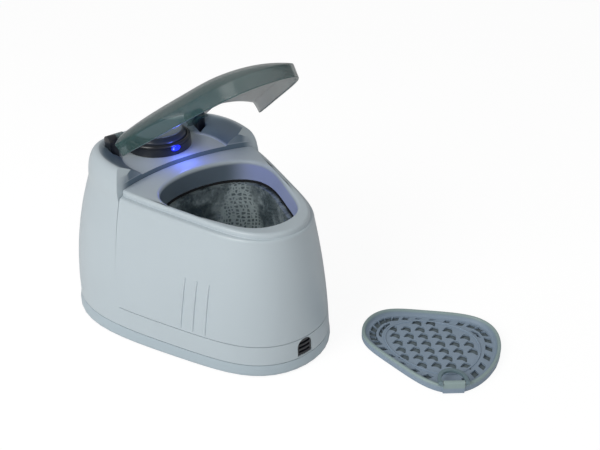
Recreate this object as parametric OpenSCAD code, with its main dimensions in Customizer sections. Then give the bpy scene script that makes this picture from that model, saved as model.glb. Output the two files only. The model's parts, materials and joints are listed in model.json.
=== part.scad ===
// Countertop ultrasonic contact lens cleaner: lidded tank body and a loose lens basket.
// Front (nose) is -Y, right is +X, up is +Z. The origin is the middle of the underside.

/* [Body outline] */
// Distance from the origin to the nose at the base seam
base_nose = 97.5; // [90:0.5:110]
// Distance from the origin to the rear at the base seam
base_rear = 97; // [92:0.5:105]
// Half of the width at the base seam
base_half = 73.6; // [68:0.2:80]
// Distance from the origin to the nose at the shoulder
top_nose = 89; // [86:0.5:92]
// Distance from the origin to the rear at the shoulder
top_rear = 90; // [86:0.5:94]
// Half of the width at the shoulder
top_half = 58; // [55:0.2:62]
// Height of the seam between the base pan and the housing
seam_h = 9; // [6:0.5:12]
// Height of the line where the front shell meets the skirt band
band_h = 22; // [18:0.5:28]
// Height of the front deck's raised rim
deck_h = 94; // [93:0.5:96]
// Drop from the rim to where the sides end and the shoulder starts
side_drop = 6.5; // [5:0.5:10]
// Drop from the rim to the ledge that the lid's skirt closes on
ledge_drop = 3.5; // [2.5:0.1:4]
// Rise of the rear deck, which carries the button, above the rim
rear_deck_rise = 3; // [2.5:0.5:5]
// Rise of the cheeks beside the rear deck above it
cheek_rise = 9.5; // [7:0.5:11]
// Wall thickness of the housing mouldings
wall = 2.4; // [2:0.1:3]
// Outward bulge of the sides half way up, at the nose
bulge_nose = 1.3; // [0:0.1:3]
// Outward bulge of the sides half way up, at the rear
bulge_rear = 4.6; // [0:0.1:6]

/* [Tank] */
// Distance from the origin to the nose of the deck opening
open_nose = 76.5; // [72:0.5:78]
// Distance from the origin to the back of the deck opening
open_rear = 13.5; // [10:0.5:16]
// Half of the width of the deck opening
open_half = 39.9; // [36:0.2:41]
// Drop from the rim to the lower edge of the plastic collar round the opening
collar_drop = 14.5; // [12:0.5:17]
// Thickness of the collar
collar_wall = 2; // [1.5:0.1:2.5]
// Step from the opening in to the tank wall, which carries the basket
tank_step = 3.4; // [3:0.1:4.5]
// Height of the tank's inner floor
tank_floor_h = 36; // [32:0.5:42]
// Thickness of the stainless tank
tank_wall = 0.8; // [0.6:0.1:1.2]
// Thickness of the sealing gasket
gasket_t = 1.5; // [1:0.1:2]
// Diameter of the ultrasonic disc under the tank
disc_d = 40; // [30:1:44]

/* [Lid] */
// Angle that the lid stands open at in its rest pose
lid_open = 35; // [30:1:45]
// Height of the lid's hinge axis above the deck rim
hinge_rise = 14.5; // [13:0.5:16]
// Distance of the lid's hinge axis behind the origin
hinge_y = 57; // [54:0.5:60]
// Wall thickness of the lid
lid_wall = 1.8; // [1.4:0.1:2.2]
// Height of the lid's crown above the deck rim
lid_crown = 17; // [15:0.5:23]
// Diameter of the hinge pins
pin_d = 3; // [2.5:0.1:3.4]

/* [Button] */
// Distance of the button pod's axis behind the origin
pod_y = 55; // [54:0.5:56]
// Outer diameter of the button pod
pod_d = 44; // [42:0.5:45]
// Height of the pod's fixed ring above the rear deck
pod_h = 8; // [7:0.5:9]
// Height of the button's top above the rear deck
button_h = 12; // [11:0.5:13]
// Travel of the button
button_travel = 1.5; // [1:0.1:2]

/* [Basket] */
// Clearance between the basket's rim and the deck opening
basket_gap = 0.8; // [0.6:0.1:1.5]
// Height of the basket's rim
basket_h = 5.4; // [4.5:0.1:7]
// Thickness of the basket's floor
basket_floor = 1.8; // [1.4:0.1:2.4]
// Sideways place of the basket beside the body
basket_x = 72.8; // [72:0.2:90]
// Forward place of the basket beside the body
basket_y = -133.3; // [-150:0.1:-133]
// Turn of the basket on the table
basket_turn = 201; // [195:1:207]
// Distance between neighbouring drain slots
slot_pitch = 8.6; // [8:0.1:10]

/* [Hidden] */

// Points round each lofted ring
N = 60;
housing_col = [0.72, 0.78, 0.81];
base_col = [0.62, 0.69, 0.73];
dark_col = [0.10, 0.12, 0.16];
steel_col = [0.70, 0.72, 0.73];
smoke_col = [0.33, 0.42, 0.42, 0.75];
basket_col = [0.45, 0.53, 0.58];
board_col = [0.10, 0.35, 0.20];

side_h = deck_h - side_drop;
ledge_h = deck_h - ledge_drop;
rear_deck_h = deck_h + rear_deck_rise;
cheek_h = rear_deck_h + cheek_rise;
collar_h = deck_h - collar_drop;
hinge_h = deck_h + hinge_rise;

// Small gap between mouldings that meet face to face
seam_gap = 0.3;
// Running clearance of a pin in its bore, measured on the radius
pin_gap = 0.05;

// An outline is [nose, rear, half width, taper, waist, shoulder]
base_o = [base_nose, base_rear, base_half, 0.20, 0.044, 0.07];
top_o = [top_nose, top_rear, top_half, 0.24, 0.112, 0.052];
open_o = [open_nose, open_rear, open_half, 0.26, 0.124, 0.044];

// Point of an outline at angle a, which runs from the nose past the right side
function outline_point(o, a) = [
    o[2] * sin(a) * (1 - o[3] * cos(a) + o[4] * cos(2 * a) + o[5] * cos(3 * a)),
    (o[1] - o[0]) / 2 - (o[1] + o[0]) / 2 * cos(a)];
// The same point moved outwards by w, square to the outline
function offset_point(o, a, w) =
    let (d = outline_point(o, a + 1) - outline_point(o, a - 1), l = norm(d))
    outline_point(o, a) + w * [d[1], -d[0]] / l;
function ring_angle(i) = 360 * i / N;
function flat_ring(o, w) = [for (i = [0:N - 1]) offset_point(o, ring_angle(i), w)];
function ring_at(o, w, z) = [for (p = flat_ring(o, w)) [p[0], p[1], z]];
function clamp01(x) = min(1, max(0, x));
function smooth(x) = let (u = clamp01(x)) u * u * (3 - 2 * u);

// How far each angle leans from the base outline to the shoulder outline at height z
function side_mix(z) = (z - seam_h) / (side_h - seam_h);
function bulge_at(a, z) =
    let (t = clamp01(side_mix(z)), b = bulge_nose + (bulge_rear - bulge_nose) * (1 - cos(a)) / 2)
    4 * t * (1 - t) * b;
function side_point(a, z, w) =
    let (t = side_mix(z), o = base_o * (1 - t) + top_o * t, p = offset_point(o, a, w + bulge_at(a, z)))
    [p[0], p[1], z];
function side_ring(z, w) = [for (i = [0:N - 1]) side_point(ring_angle(i), z, w)];
function crest_point(a, w, z) = let (p = offset_point(top_o, a, w)) [p[0], p[1], z];

// Front ledge: wider beside the tank than at the nose
ledge_nose = 1.8;
ledge_side = 4.2;
function ledge_w(a) = ledge_nose + (ledge_side - ledge_nose) * smooth(abs(sin(a / 2)) * 1.6);
shoulder_r = ledge_h - side_h;
rim_fillet = 0.8;

// Closed solid through a stack of rings
module skin(rings) {
    m = len(rings);
    polyhedron(
        points = [for (r = rings) for (p = r) p],
        faces = concat(
            [[for (i = [0:N - 1]) i]],
            [[for (i = [N - 1:-1:0]) (m - 1) * N + i]],
            [for (j = [0:m - 2]) for (i = [0:N - 1]) [j * N + i, (j + 1) * N + i, (j + 1) * N + (i + 1) % N]],
            [for (j = [0:m - 2]) for (i = [0:N - 1]) [j * N + i, (j + 1) * N + (i + 1) % N, j * N + (i + 1) % N]]));
}

// Upright prism on an outline
module prism(o, w, z0, z1) {
    translate([0, 0, z0])
        linear_extrude(z1 - z0)
            polygon(flat_ring(o, w));
}

// Plate drawn in the Y-Z plane and as wide as the body
module side_slab(points) {
    rotate([90, 0, 90])
        linear_extrude(2 * base_half + 40, center = true)
            polygon(points);
}

// Both sides of the body, mirrored
module both_sides() {
    children();
    mirror([1, 0, 0]) children();
}

// Housing seam: leans forward as it goes down from the deck corner
seam_top_y = 17;
seam_low_y = 3;
function seam_y(z) = seam_top_y - (seam_top_y - seam_low_y) * (deck_h - z) / (deck_h - band_h);
// The riser between the decks is an arc through both seam corners
riser_half = 50;
riser_bow = 10;
riser_r = (riser_half * riser_half + riser_bow * riser_bow) / (2 * riser_bow);
riser_cy = seam_top_y + riser_bow - riser_r;
far_y = 160;
high_z = 140;

side_steps = 6;
function side_heights(z0, z1) = [for (k = [0:side_steps]) z0 + (z1 - z0) * k / side_steps];

// Cheek crest: lower and narrower behind the pod
crest_turn = 50;
rear_rise = 3;
crest_roll_out = 8;
crest_in_rear = 12;
crest_in_side = 23;
function crest_mix(a) = smooth(abs(180 - a) / crest_turn);
function crest_z(a) = rear_deck_h + rear_rise + (cheek_h - rear_deck_h - rear_rise) * crest_mix(a);
function crest_in(a) = crest_in_rear + (crest_in_side - crest_in_rear) * crest_mix(a);
crest_steps = 5;

function crest_out_ring(s, w) = [for (i = [0:N - 1]) let (a = ring_angle(i))
    crest_point(a, w - crest_roll_out * (1 - cos(s)), side_h + (crest_z(a) + w - side_h) * sin(s))];
function crest_in_ring(s, w) = [for (i = [0:N - 1]) let (a = ring_angle(i))
    crest_point(a, w - crest_roll_out - (crest_in(a) + 2 * w - crest_roll_out) * sin(s),
        rear_deck_h + w + (crest_z(a) - rear_deck_h) * cos(s))];

// Solid of the rear housing, moved out by w (negative for its hollow)
module rear_form(z0, w) {
    skin(concat(
        [for (z = side_heights(z0, side_h)) side_ring(z, w)],
        [for (k = [1:crest_steps]) crest_out_ring(90 * k / crest_steps, w)],
        [for (k = [1:crest_steps]) crest_in_ring(90 * k / crest_steps, w)]));
}

// Short piece of the sides alone
module band_form(z0, z1, w) {
    skin([side_ring(z0, w), side_ring((z0 + z1) / 2, w), side_ring(z1, w)]);
}

// Solid of the front shell with its shoulder, ledge and raised rim
module front_form(z0, w, ledge_z, rim_z) {
    skin(concat(
        [for (z = side_heights(z0, side_h)) side_ring(z, w)],
        [for (k = [1:3]) [for (i = [0:N - 1]) let (a = ring_angle(i), s = 30 * k)
            crest_point(a, w - ledge_w(a) * 0.6 * (1 - cos(s)), side_h + (ledge_z - side_h) * sin(s))]],
        [[for (i = [0:N - 1]) let (a = ring_angle(i)) crest_point(a, w - ledge_w(a), ledge_z + 0.01)]],
        [[for (i = [0:N - 1]) let (a = ring_angle(i)) crest_point(a, w - ledge_w(a) - 0.1, rim_z - rim_fillet)]],
        [[for (i = [0:N - 1]) let (a = ring_angle(i))
            crest_point(a, w - ledge_w(a) - rim_fillet, rim_z)]]));
}

// Base pan
pad_t = 1.6;
pan_low = 0.8;
pad_inset = 22;
pan_floor = 3.2;
pan_lip = 2.2;
post_d = 8;
post_top = 40;
screw_d = 3;
head_d = 5.6;
head_h = 2.2;
// Front and rear screw posts, set in from the outline at the given angles
post_inset = 3.6 + wall + 1;
front_post = offset_point(base_o, 59, -post_inset);
rear_post = offset_point(base_o, 126, -post_inset);
housing_posts = [front_post, rear_post];
pcb_post_x = 34;
pcb_post_front = 26;
pcb_post_rear = 76;
driver_z = 12;
board_t = 1.6;

module grip_pad() {
    color([0.15, 0.16, 0.17])
        prism(base_o, -pad_inset, 0, pad_t);
}

module base_pan() {
    color(base_col)
        difference() {
            union() {
                difference() {
                    skin([side_ring(pan_low, -1.6), side_ring(pan_low + 0.9, -0.4),
                        side_ring(pan_low + 2.4, 0), side_ring(seam_h - 0.15, 0)]);
                    skin([side_ring(pan_floor, -wall - 1.5), side_ring(pan_floor + 1.5, -wall),
                        side_ring(seam_h + 1, -wall)]);
                }
                for (p = housing_posts)
                    both_sides()
                        translate([p[0], p[1], pan_low + 1])
                            cylinder(d = post_d, h = seam_h + 4 - pan_low, $fn = 32);
                for (y = [pcb_post_front, pcb_post_rear])
                    both_sides()
                        translate([pcb_post_x, y, pan_low + 1])
                            cylinder(d = 6, h = driver_z - pan_low - 1, $fn = 32);
            }
            prism(base_o, -pad_inset + seam_gap, pan_low - 1, pad_t);
            for (p = housing_posts)
                both_sides()
                    translate([p[0], p[1], 0]) {
                        cylinder(d = head_d + 0.6, h = pan_floor + head_h, $fn = 32);
                        cylinder(d = screw_d + 0.4, h = 40, $fn = 32);
                    }
            for (y = [pcb_post_front, pcb_post_rear])
                both_sides()
                    translate([pcb_post_x, y, driver_z - 6])
                        cylinder(d = 2, h = 10, $fn = 24);
        }
}

// Self-tapping screw, head down, with its seat at z = 0
module screw(d, head, head_t, l) {
    cylinder(d = d, h = l, $fn = 24);
    translate([0, 0, -head_t])
        cylinder(d = head, h = head_t, $fn = 24);
}

post_seat = seam_h + 5;
// Screw post with a web out to the wall, trimmed to the inside of the wall
module screw_post(p, web_low) {
    intersection() {
        band_form(post_seat - 1, post_top + 1, -0.8);
        both_sides()
            translate([p[0], p[1], 0]) {
                translate([0, 0, post_seat])
                    cylinder(d = post_d, h = post_top - post_seat, $fn = 32);
                translate([0, -1.2, web_low])
                    cube([20, 2.4, post_top - web_low]);
            }
    }
}
module screw_post_hole(p) {
    both_sides()
        translate([p[0], p[1], post_seat - 1])
            cylinder(d = screw_d + 0.1, h = 12, $fn = 24);
}

module housing_screws() {
    color(steel_col)
        for (p = housing_posts)
            both_sides()
                translate([p[0], p[1], pan_floor + head_h])
                    screw(screw_d, head_d, head_h - 0.4, post_seat + 8 - pan_floor - head_h);
}

// Rear housing: hood, cheeks, rear deck and the skirt band that runs round the nose
vent_half = 5.4;
vent_low = 10.2;
vent_high = 21.6;
inlet_z = 30;
inlet_w = 23;
inlet_hh = 15;
inlet_deep = 16;
inlet_face = base_rear + 1.6 - wall;
lug_in = 31.2;
lug_out = 37;
lug_front = hinge_y - 6;
lug_back = hinge_y + 6;
lug_foot = rear_deck_h - 1;
tower_r = 6;
cheek_round = 10;

module rear_region() {
    side_slab(concat(
        [[seam_y(band_h), band_h - seam_gap], [seam_y(deck_h), deck_h]],
        [for (k = [1:5]) [seam_top_y + cheek_round * (1 - cos(18 * k)), deck_h + (cheek_h + 1 - deck_h) * sin(18 * k)]],
        [[far_y, high_z], [far_y, seam_h - 1], [-far_y, seam_h - 1], [-far_y, band_h - seam_gap]]));
}

module vent_shape(grow) {
    hull() {
        translate([0, vent_high - vent_half])
            circle(r = vent_half + grow, $fn = 32);
        translate([-vent_half - grow, vent_low - grow])
            square([2 * (vent_half + grow), 1]);
    }
}

module rear_housing() {
    color(housing_col)
        difference() {
            union() {
                difference() {
                    intersection() {
                        rear_form(seam_h, 0);
                        rear_region();
                    }
                    rear_form(seam_h - 2, -wall);
                    translate([0, riser_cy, side_h])
                        cylinder(r = riser_r + 0.2, h = high_z - side_h, $fn = 180);
                }
                intersection() {
                    difference() {
                        translate([0, riser_cy, side_h])
                            cylinder(r = riser_r + 0.2 + wall, h = rear_deck_h - side_h - 1, $fn = 180);
                        translate([0, riser_cy, side_h - 1])
                            cylinder(r = riser_r + 0.2, h = rear_deck_h, $fn = 180);
                    }
                    prism(top_o, -wall / 2, side_h - 1, rear_deck_h);
                    translate([-riser_half - 5, 0, 0])
                        cube([2 * riser_half + 10, far_y, high_z]);
                }
                intersection() {
                    band_form(inlet_z - inlet_hh, inlet_z + inlet_hh, -0.5);
                    translate([-inlet_w / 2 - 6, inlet_face - 3, inlet_z - inlet_hh / 2 - 5])
                        cube([inlet_w + 12, 30, inlet_hh + 10]);
                }
                for (x = [-control_post_x, control_post_x])
                    translate([x, pod_y, control_z + board_t])
                        cylinder(d = 6, h = rear_deck_h - wall + 0.5 - control_z - board_t, $fn = 32);
                screw_post(rear_post, post_seat);
            }
            translate([-inlet_w / 2, inlet_face - 12, inlet_z - inlet_hh / 2])
                cube([inlet_w, 40, inlet_hh]);
            translate([-inlet_w / 2 - 3, inlet_face, inlet_z - inlet_hh / 2 - 3])
                cube([inlet_w + 6, 40, inlet_hh + 6]);
            translate([0, -base_nose + 14, 0])
                rotate([90, 0, 0])
                    linear_extrude(30)
                        vent_shape(0.2);
            translate([0, pod_y, rear_deck_h - 8])
                cylinder(r = tower_r, h = 20, $fn = 48);
            both_sides()
                translate([lug_in - 0.1, lug_front - 0.1, lug_foot])
                    cube([lug_out - lug_in + 0.2, lug_back - lug_front + 0.2, 30]);
            translate([-led_w / 2 - 0.2, pod_y - pod_d / 2 + 1.5, rear_deck_h - 8])
                cube([led_w + 0.4, 6, 12]);
            for (x = [-control_post_x, control_post_x])
                translate([x, pod_y, control_z])
                    cylinder(d = 2, h = 5, $fn = 24);
            screw_post_hole(rear_post);
        }
}

// Front shell: nose, sides, ledge, raised rim, opening collar and side ribs
deck_plate_low = deck_h - wall;
flange_out = 1.7;
clamp_boss_out = 4.4;
clamp_boss_d = 5;
clamp_angles = [22, 128, 162];
flange_low = collar_h - gasket_t - tank_wall;
clamp_low = flange_low - 2.4;
rib_count = 3;
rib_w = 1.5;
rib_proud = 0.5;
rib_pitch = 8;
rib_mid_y = -49;
rib_low = 26;
rib_high = 56;

module front_region() {
    intersection() {
        side_slab([[-far_y, band_h], [seam_y(band_h) - seam_gap, band_h],
            [seam_y(side_h) - seam_gap, side_h], [seam_y(side_h) - seam_gap, side_h],
            [far_y, side_h], [far_y, high_z], [-far_y, high_z]]);
        union() {
            translate([-far_y, -far_y, 0])
                cube([2 * far_y, 2 * far_y, side_h]);
            translate([0, riser_cy, side_h - 0.01])
                cylinder(r = riser_r, h = high_z - side_h, $fn = 180);
        }
    }
}

module clamp_spots() {
    for (a = clamp_angles)
        both_sides() {
            p = offset_point(open_o, a, clamp_boss_out);
            translate([p[0], p[1], 0]) children();
        }
}

// One raised bar that follows the leaning side
module side_rib(y) {
    hull()
        for (z = [rib_low, rib_high]) {
            a = side_angle(y, z);
            p = side_point(a, z, 0);
            translate([p[0] - 1, p[1], z])
                rotate([0, 90, 0])
                    cylinder(d = rib_w, h = 1 + rib_proud, $fn = 12);
        }
}
// Angle at which the side passes the given Y
function side_angle(y, z) =
    let (t = side_mix(z), o = base_o * (1 - t) + top_o * t) acos(clamp_cos((o[1] - o[0] - 2 * y) / (o[1] + o[0])));
function clamp_cos(c) = min(1, max(-1, c));

module front_shell() {
    color(housing_col)
        difference() {
            union() {
                difference() {
                    intersection() {
                        front_form(band_h, 0, ledge_h, deck_h);
                        front_region();
                    }
                    front_form(band_h - 2, -wall, ledge_h - wall, deck_plate_low);
                }
                prism(open_o, collar_wall, collar_h, deck_h - 0.5);
                clamp_spots()
                    translate([0, 0, flange_low])
                        cylinder(d = clamp_boss_d, h = deck_h - 1 - flange_low, $fn = 24);
                screw_post(front_post, band_h);
                both_sides()
                    for (k = [0:rib_count - 1])
                        side_rib(rib_mid_y + rib_pitch * (k - (rib_count - 1) / 2));
            }
            prism(open_o, 0, collar_h - 20, deck_h + 10);
            clamp_spots()
                translate([0, 0, flange_low - 1])
                    cylinder(d = 2.1, h = 10, $fn = 24);
            screw_post_hole(front_post);
        }
}

module vent_grille() {
    color(dark_col)
        intersection() {
            difference() {
                translate([0, -base_nose + 12, 0])
                    rotate([90, 0, 0])
                        linear_extrude(30)
                            vent_shape(0);
                for (k = [0:2])
                    translate([-vent_half + 1.2, -base_nose - 5, vent_low + 1.6 + 3 * k])
                        cube([2 * vent_half - 2.4, 12, 1.5]);
            }
            difference() {
                band_form(seam_h, band_h, -0.5);
                band_form(seam_h - 1, band_h + 1, -wall - 0.8);
            }
        }
}

// Tank parts
tank_top = -tank_step;
module tank() {
    color(steel_col)
        difference() {
            union() {
                prism(open_o, flange_out, flange_low, flange_low + tank_wall);
                skin([ring_at(open_o, -tank_step - 9 + tank_wall, tank_floor_h - tank_wall),
                    ring_at(open_o, -tank_step - 4 + tank_wall, tank_floor_h + 1),
                    ring_at(open_o, -tank_step - 2.4 + tank_wall, tank_floor_h + 5),
                    ring_at(open_o, -tank_step + tank_wall, flange_low + 0.1)]);
            }
            skin([ring_at(open_o, -tank_step - 9, tank_floor_h),
                ring_at(open_o, -tank_step - 4.8, tank_floor_h + 1.6),
                ring_at(open_o, -tank_step - 2.4, tank_floor_h + 5.4),
                ring_at(open_o, -tank_step, flange_low + 0.1),
                ring_at(open_o, -tank_step, collar_h + 5)]);
        }
}

module tank_gasket() {
    color(dark_col)
        difference() {
            prism(open_o, flange_out, collar_h - gasket_t, collar_h);
            prism(open_o, -1.8, collar_h - gasket_t - 1, collar_h + 1);
        }
}

clamp_reach = clamp_boss_out + clamp_boss_d / 2;
module tank_clamp() {
    color([0.62, 0.64, 0.66])
        difference() {
            prism(open_o, clamp_reach, clamp_low, flange_low);
            prism(open_o, -1.4, clamp_low - 1, flange_low + 1);
            clamp_spots()
                translate([0, 0, clamp_low - 1])
                    cylinder(d = 2.8, h = 10, $fn = 24);
        }
}

module clamp_screws() {
    color(steel_col)
        clamp_spots()
            translate([0, 0, clamp_low])
                screw(2, 4.4, 1.6, 9);
}

disc_y = (open_rear - open_nose) / 2 + 6;
disc_t = 3;
disc_top = tank_floor_h - tank_wall;
module piezo_disc() {
    color([0.80, 0.76, 0.62])
        translate([0, disc_y, disc_top - disc_t])
            cylinder(d = disc_d, h = disc_t, $fn = 72);
}

// Round lead swept along a route
function unit(v) = v / norm(v);
function route_dir(p, i) = unit(p[min(i + 1, len(p) - 1)] - p[max(i - 1, 0)]);
module lead(points, d) {
    sides = 8;
    n = len(points);
    rings = [for (i = [0:n - 1])
        let (t = route_dir(points, i), side = unit(cross(t, abs(t[2]) > 0.9 ? [1, 0, 0] : [0, 0, 1])), up = cross(side, t))
        [for (k = [0:sides - 1]) points[i] + d / 2 * (cos(45 * k) * side + sin(45 * k) * up)]];
    polyhedron(
        points = [for (r = rings) for (p = r) p],
        faces = concat(
            [[for (k = [sides - 1:-1:0]) k]],
            [[for (k = [0:sides - 1]) (n - 1) * sides + k]],
            [for (j = [0:n - 2]) for (k = [0:sides - 1]) [j * sides + k, j * sides + (k + 1) % sides, (j + 1) * sides + (k + 1) % sides]],
            [for (j = [0:n - 2]) for (k = [0:sides - 1]) [j * sides + k, (j + 1) * sides + (k + 1) % sides, (j + 1) * sides + k]]));
}

driver_front = 22;
driver_rear = 80;
driver_half = 38;
lead_d = 1.6;
function arc_route(a, b, sag) = [for (k = [0:8]) let (u = k / 8) a * (1 - u) + b * u - [0, 0, sag * 4 * u * (1 - u)]];
module piezo_leads() {
    color([0.75, 0.10, 0.10])
        for (x = [-6, 6])
            lead(arc_route([x, disc_y + 8, disc_top - disc_t - lead_d / 2], [x, driver_front + 8, driver_z + board_t + lead_d / 2], 4), lead_d);
}

function inlet_route(x, back, low) = concat([[x, back, inlet_z]],
    arc_route([x, back - 3, inlet_z], [x, driver_rear - 1, low], 2), [[x, driver_rear - 4, low]]);
module inlet_leads() {
    color([0.15, 0.15, 0.16])
        for (x = [-5, 5])
            lead(inlet_route(x, inlet_face - inlet_deep, driver_z + board_t + lead_d / 2), lead_d);
}

// Hinge
lug_r = 5;
module hinge_lugs() {
    color(dark_col)
        both_sides()
            difference() {
                union() {
                    translate([lug_in, hinge_y, hinge_h])
                        rotate([0, 90, 0])
                            cylinder(r = lug_r, h = lug_out - lug_in, $fn = 48);
                    translate([lug_in, lug_front, lug_foot])
                        cube([lug_out - lug_in, lug_back - lug_front, hinge_h - lug_foot - 3]);
                }
                translate([lug_in - 1, hinge_y, hinge_h])
                    rotate([0, 90, 0])
                        cylinder(d = pin_d, h = lug_out - lug_in - 1, $fn = 48);
            }
}

ear_in = 25;
ear_out = 30.7;
ear_r = 4.2;
ear_tail = 18;
ear_tail_h = deck_h + lid_crown - 7.8;
module hinge_pins() {
    color(steel_col)
        both_sides()
            translate([ear_in + 0.6, hinge_y, hinge_h])
                rotate([0, 90, 0])
                    cylinder(d = pin_d, h = lug_out - 2 - ear_in - 0.6, $fn = 48);
}

// Lid, drawn closed
lid_gap = 0.9;
lid_low = ledge_h + 0.4;
lid_skirt_top = deck_h + 5;
lid_cy = -22;
lid_steps = 7;
function lid_z(s, top) = lid_skirt_top + (top - lid_skirt_top) * (1 - pow(s, 2.6));
function lid_ring(s, w, top) = [for (i = [0:N - 1])
    let (a = ring_angle(i), p = offset_point(top_o, a, lid_gap - ledge_w(a) + w))
    [p[0] * s, lid_cy + (p[1] - lid_cy) * s, lid_z(s, top)]];
module lid_form(z0, w) {
    skin(concat(
        [[for (i = [0:N - 1]) let (a = ring_angle(i), p = offset_point(top_o, a, lid_gap - ledge_w(a) + w)) [p[0], p[1], z0]]],
        [for (k = [0:lid_steps]) lid_ring(sin(90 - 84 * k / lid_steps), w, deck_h + lid_crown - lid_wall + w)]));
}
arm_out = 30.7;
arch_r = 17.6;
arch_y = 27.5;
notch_r = 30;
notch_y = 45;
lid_tail = 3;
lid_back_drop = 5.5;
module lid_cuts() {
    both_sides() {
        translate([arm_out, 0, 0])
            rotate([90, 0, 90])
                linear_extrude(80) {
                    translate([arch_y, lid_low - 2]) circle(r = arch_r, $fn = 64);
                    translate([arch_y, lid_low - 20]) square([80, arch_r + 18]);
                }
        translate([arm_out + notch_r, notch_y, lid_low - 10])
            cylinder(r = notch_r, h = 60, $fn = 96);
        translate([arm_out, notch_y, lid_low - 10])
            cube([80, 80, 60]);
    }
    translate([0, pod_y, lid_low - 10])
        cylinder(d = pod_d + 5, h = 60, $fn = 72);
    translate([-pod_d / 2 - 2.5, pod_y, lid_low - 10])
        cube([pod_d + 5, 80, 60]);
    translate([-80, hinge_y + lid_tail, lid_low - 10])
        cube([160, 80, 60]);
    translate([-80, seam_top_y + 2, lid_low - 10])
        cube([160, 80, hinge_h - lid_back_drop - lid_low + 10]);
}
module lid_closed() {
    difference() {
        union() {
            difference() {
                lid_form(lid_low, lid_wall);
                lid_form(lid_low - 5, 0);
                lid_cuts();
            }
            both_sides()
                translate([ear_in, hinge_y, hinge_h])
                    rotate([0, 90, 0])
                        cylinder(r = ear_r, h = ear_out - ear_in, $fn = 48);
            both_sides()
                translate([ear_in, 0, 0])
                    rotate([90, 0, 90])
                        linear_extrude(ear_out - ear_in)
                            polygon([[hinge_y, hinge_h + ear_r], [hinge_y - ear_tail, ear_tail_h + 1.2],
                                [hinge_y - ear_tail, ear_tail_h], [hinge_y, hinge_h - ear_r]]);
        }
        both_sides()
            translate([ear_in - 1, hinge_y, hinge_h])
                rotate([0, 90, 0])
                    cylinder(r = pin_d / 2 + pin_gap, h = ear_out - ear_in + 2, $fn = 48);
    }
}
module lid() {
    color(smoke_col)
        translate([0, hinge_y, hinge_h])
            rotate([-lid_open, 0, 0])
                translate([0, -hinge_y, -hinge_h])
                    lid_closed();
}

// Button pod
pod_wall = 2.6;
cap_gap = 0.4;
pod_floor = 2;
led_w = 8;
led_hh = 4.6;
led_z = rear_deck_h + 4.6;
led_d = 3;
led_y = pod_y - pod_d / 2 + pod_wall + led_d / 2 + 0.2;
led_top = rear_deck_h + pod_floor + 1.6;
module pod_ring() {
    color(dark_col)
        translate([0, pod_y, 0])
            difference() {
                translate([0, 0, rear_deck_h])
                    rotate_extrude($fn = 96)
                        polygon([[0, 0], [pod_d / 2, 0], [pod_d / 2 - 0.3, pod_h - 2.4], [pod_d / 2 - 0.8, pod_h - 2.2],
                            [pod_d / 2 - 0.8, pod_h - 1.9], [pod_d / 2 - 0.4, pod_h - 1.7], [pod_d / 2 - 0.8, pod_h], [0, pod_h]]);
                translate([0, 0, rear_deck_h + pod_floor])
                    cylinder(d = pod_d - 2 * pod_wall, h = 20, $fn = 96);
                translate([0, 0, rear_deck_h - 1])
                    cylinder(r = tower_r - 1, h = 10, $fn = 48);
                translate([0, led_y - pod_y, rear_deck_h - 1])
                    cylinder(d = led_d + 0.6, h = 5, $fn = 32);
                translate([-led_w / 2, -pod_d / 2 - 1, led_z - led_hh / 2])
                    cube([led_w, pod_wall + 2, led_hh]);
            }
}

cap_low = rear_deck_h + pod_floor + 2 + button_travel;
module button_cap() {
    color([0.13, 0.16, 0.21])
        translate([0, pod_y, 0])
            difference() {
                union() {
                    translate([0, 0, cap_low])
                        rotate_extrude($fn = 96)
                            polygon([[0, 0], [cap_r, 0], [cap_r, rear_deck_h + button_h - 3 - cap_low],
                                [cap_r - 2, rear_deck_h + button_h - 0.8 - cap_low], [0, rear_deck_h + button_h - 0.8 - cap_low]]);
                    translate([0, 0, plunger_low])
                        cylinder(d = 4, h = cap_low + 3 - plunger_low, $fn = 32);
                }
                translate([0, 0, cap_low - 1])
                    difference() {
                        cylinder(r = cap_r - 1.8, h = 1 + rear_deck_h + button_h - 3 - cap_low, $fn = 96);
                        cylinder(d = 4, h = 20, $fn = 32);
                    }
            }
}
cap_r = pod_d / 2 - pod_wall - cap_gap;
inlay_r = cap_r - 2.6;
module button_inlay() {
    color([0.55, 0.62, 0.68])
        translate([0, pod_y, rear_deck_h + button_h - 0.8])
            cylinder(r = inlay_r, h = 0.8, $fn = 96);
}

// Compression spring round the plunger
spring_r = 8;
spring_wire = 0.9;
spring_turns = 4;
spring_low = rear_deck_h + pod_floor;
spring_high = rear_deck_h + button_h - 3 - 0.02;
module button_spring() {
    n = spring_turns * 12;
    color(steel_col)
        translate([0, pod_y, 0])
            lead([for (k = [0:n]) [spring_r * cos(30 * k), spring_r * sin(30 * k),
                spring_low + spring_wire / 2 + 0.1 + (spring_high - spring_low - spring_wire - 0.2) * k / n]], spring_wire);
}

module led_lens() {
    color([0.10, 0.25, 0.95])
        translate([0, pod_y, 0])
            intersection() {
                translate([-led_w / 2 + 0.1, -pod_d / 2 - 0.4, led_z - led_hh / 2 + 0.1])
                    cube([led_w - 0.2, pod_wall + 0.2, led_hh - 0.2]);
                translate([0, 0, rear_deck_h])
                    cylinder(d = pod_d, h = 20, $fn = 96);
            }
}

// Control board under the rear deck
control_z = rear_deck_h - 11;
control_half = 17;
control_post_x = 13;
plunger_low = control_z + board_t + 3.6;
module indicator_led() {
    color([0.25, 0.45, 1.0])
        translate([0, led_y, 0]) {
            translate([0, 0, control_z + board_t])
                cylinder(d = led_d, h = led_top - led_d / 2 - control_z - board_t, $fn = 32);
            translate([0, 0, led_top - led_d / 2])
                sphere(d = led_d, $fn = 32);
        }
}

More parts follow.
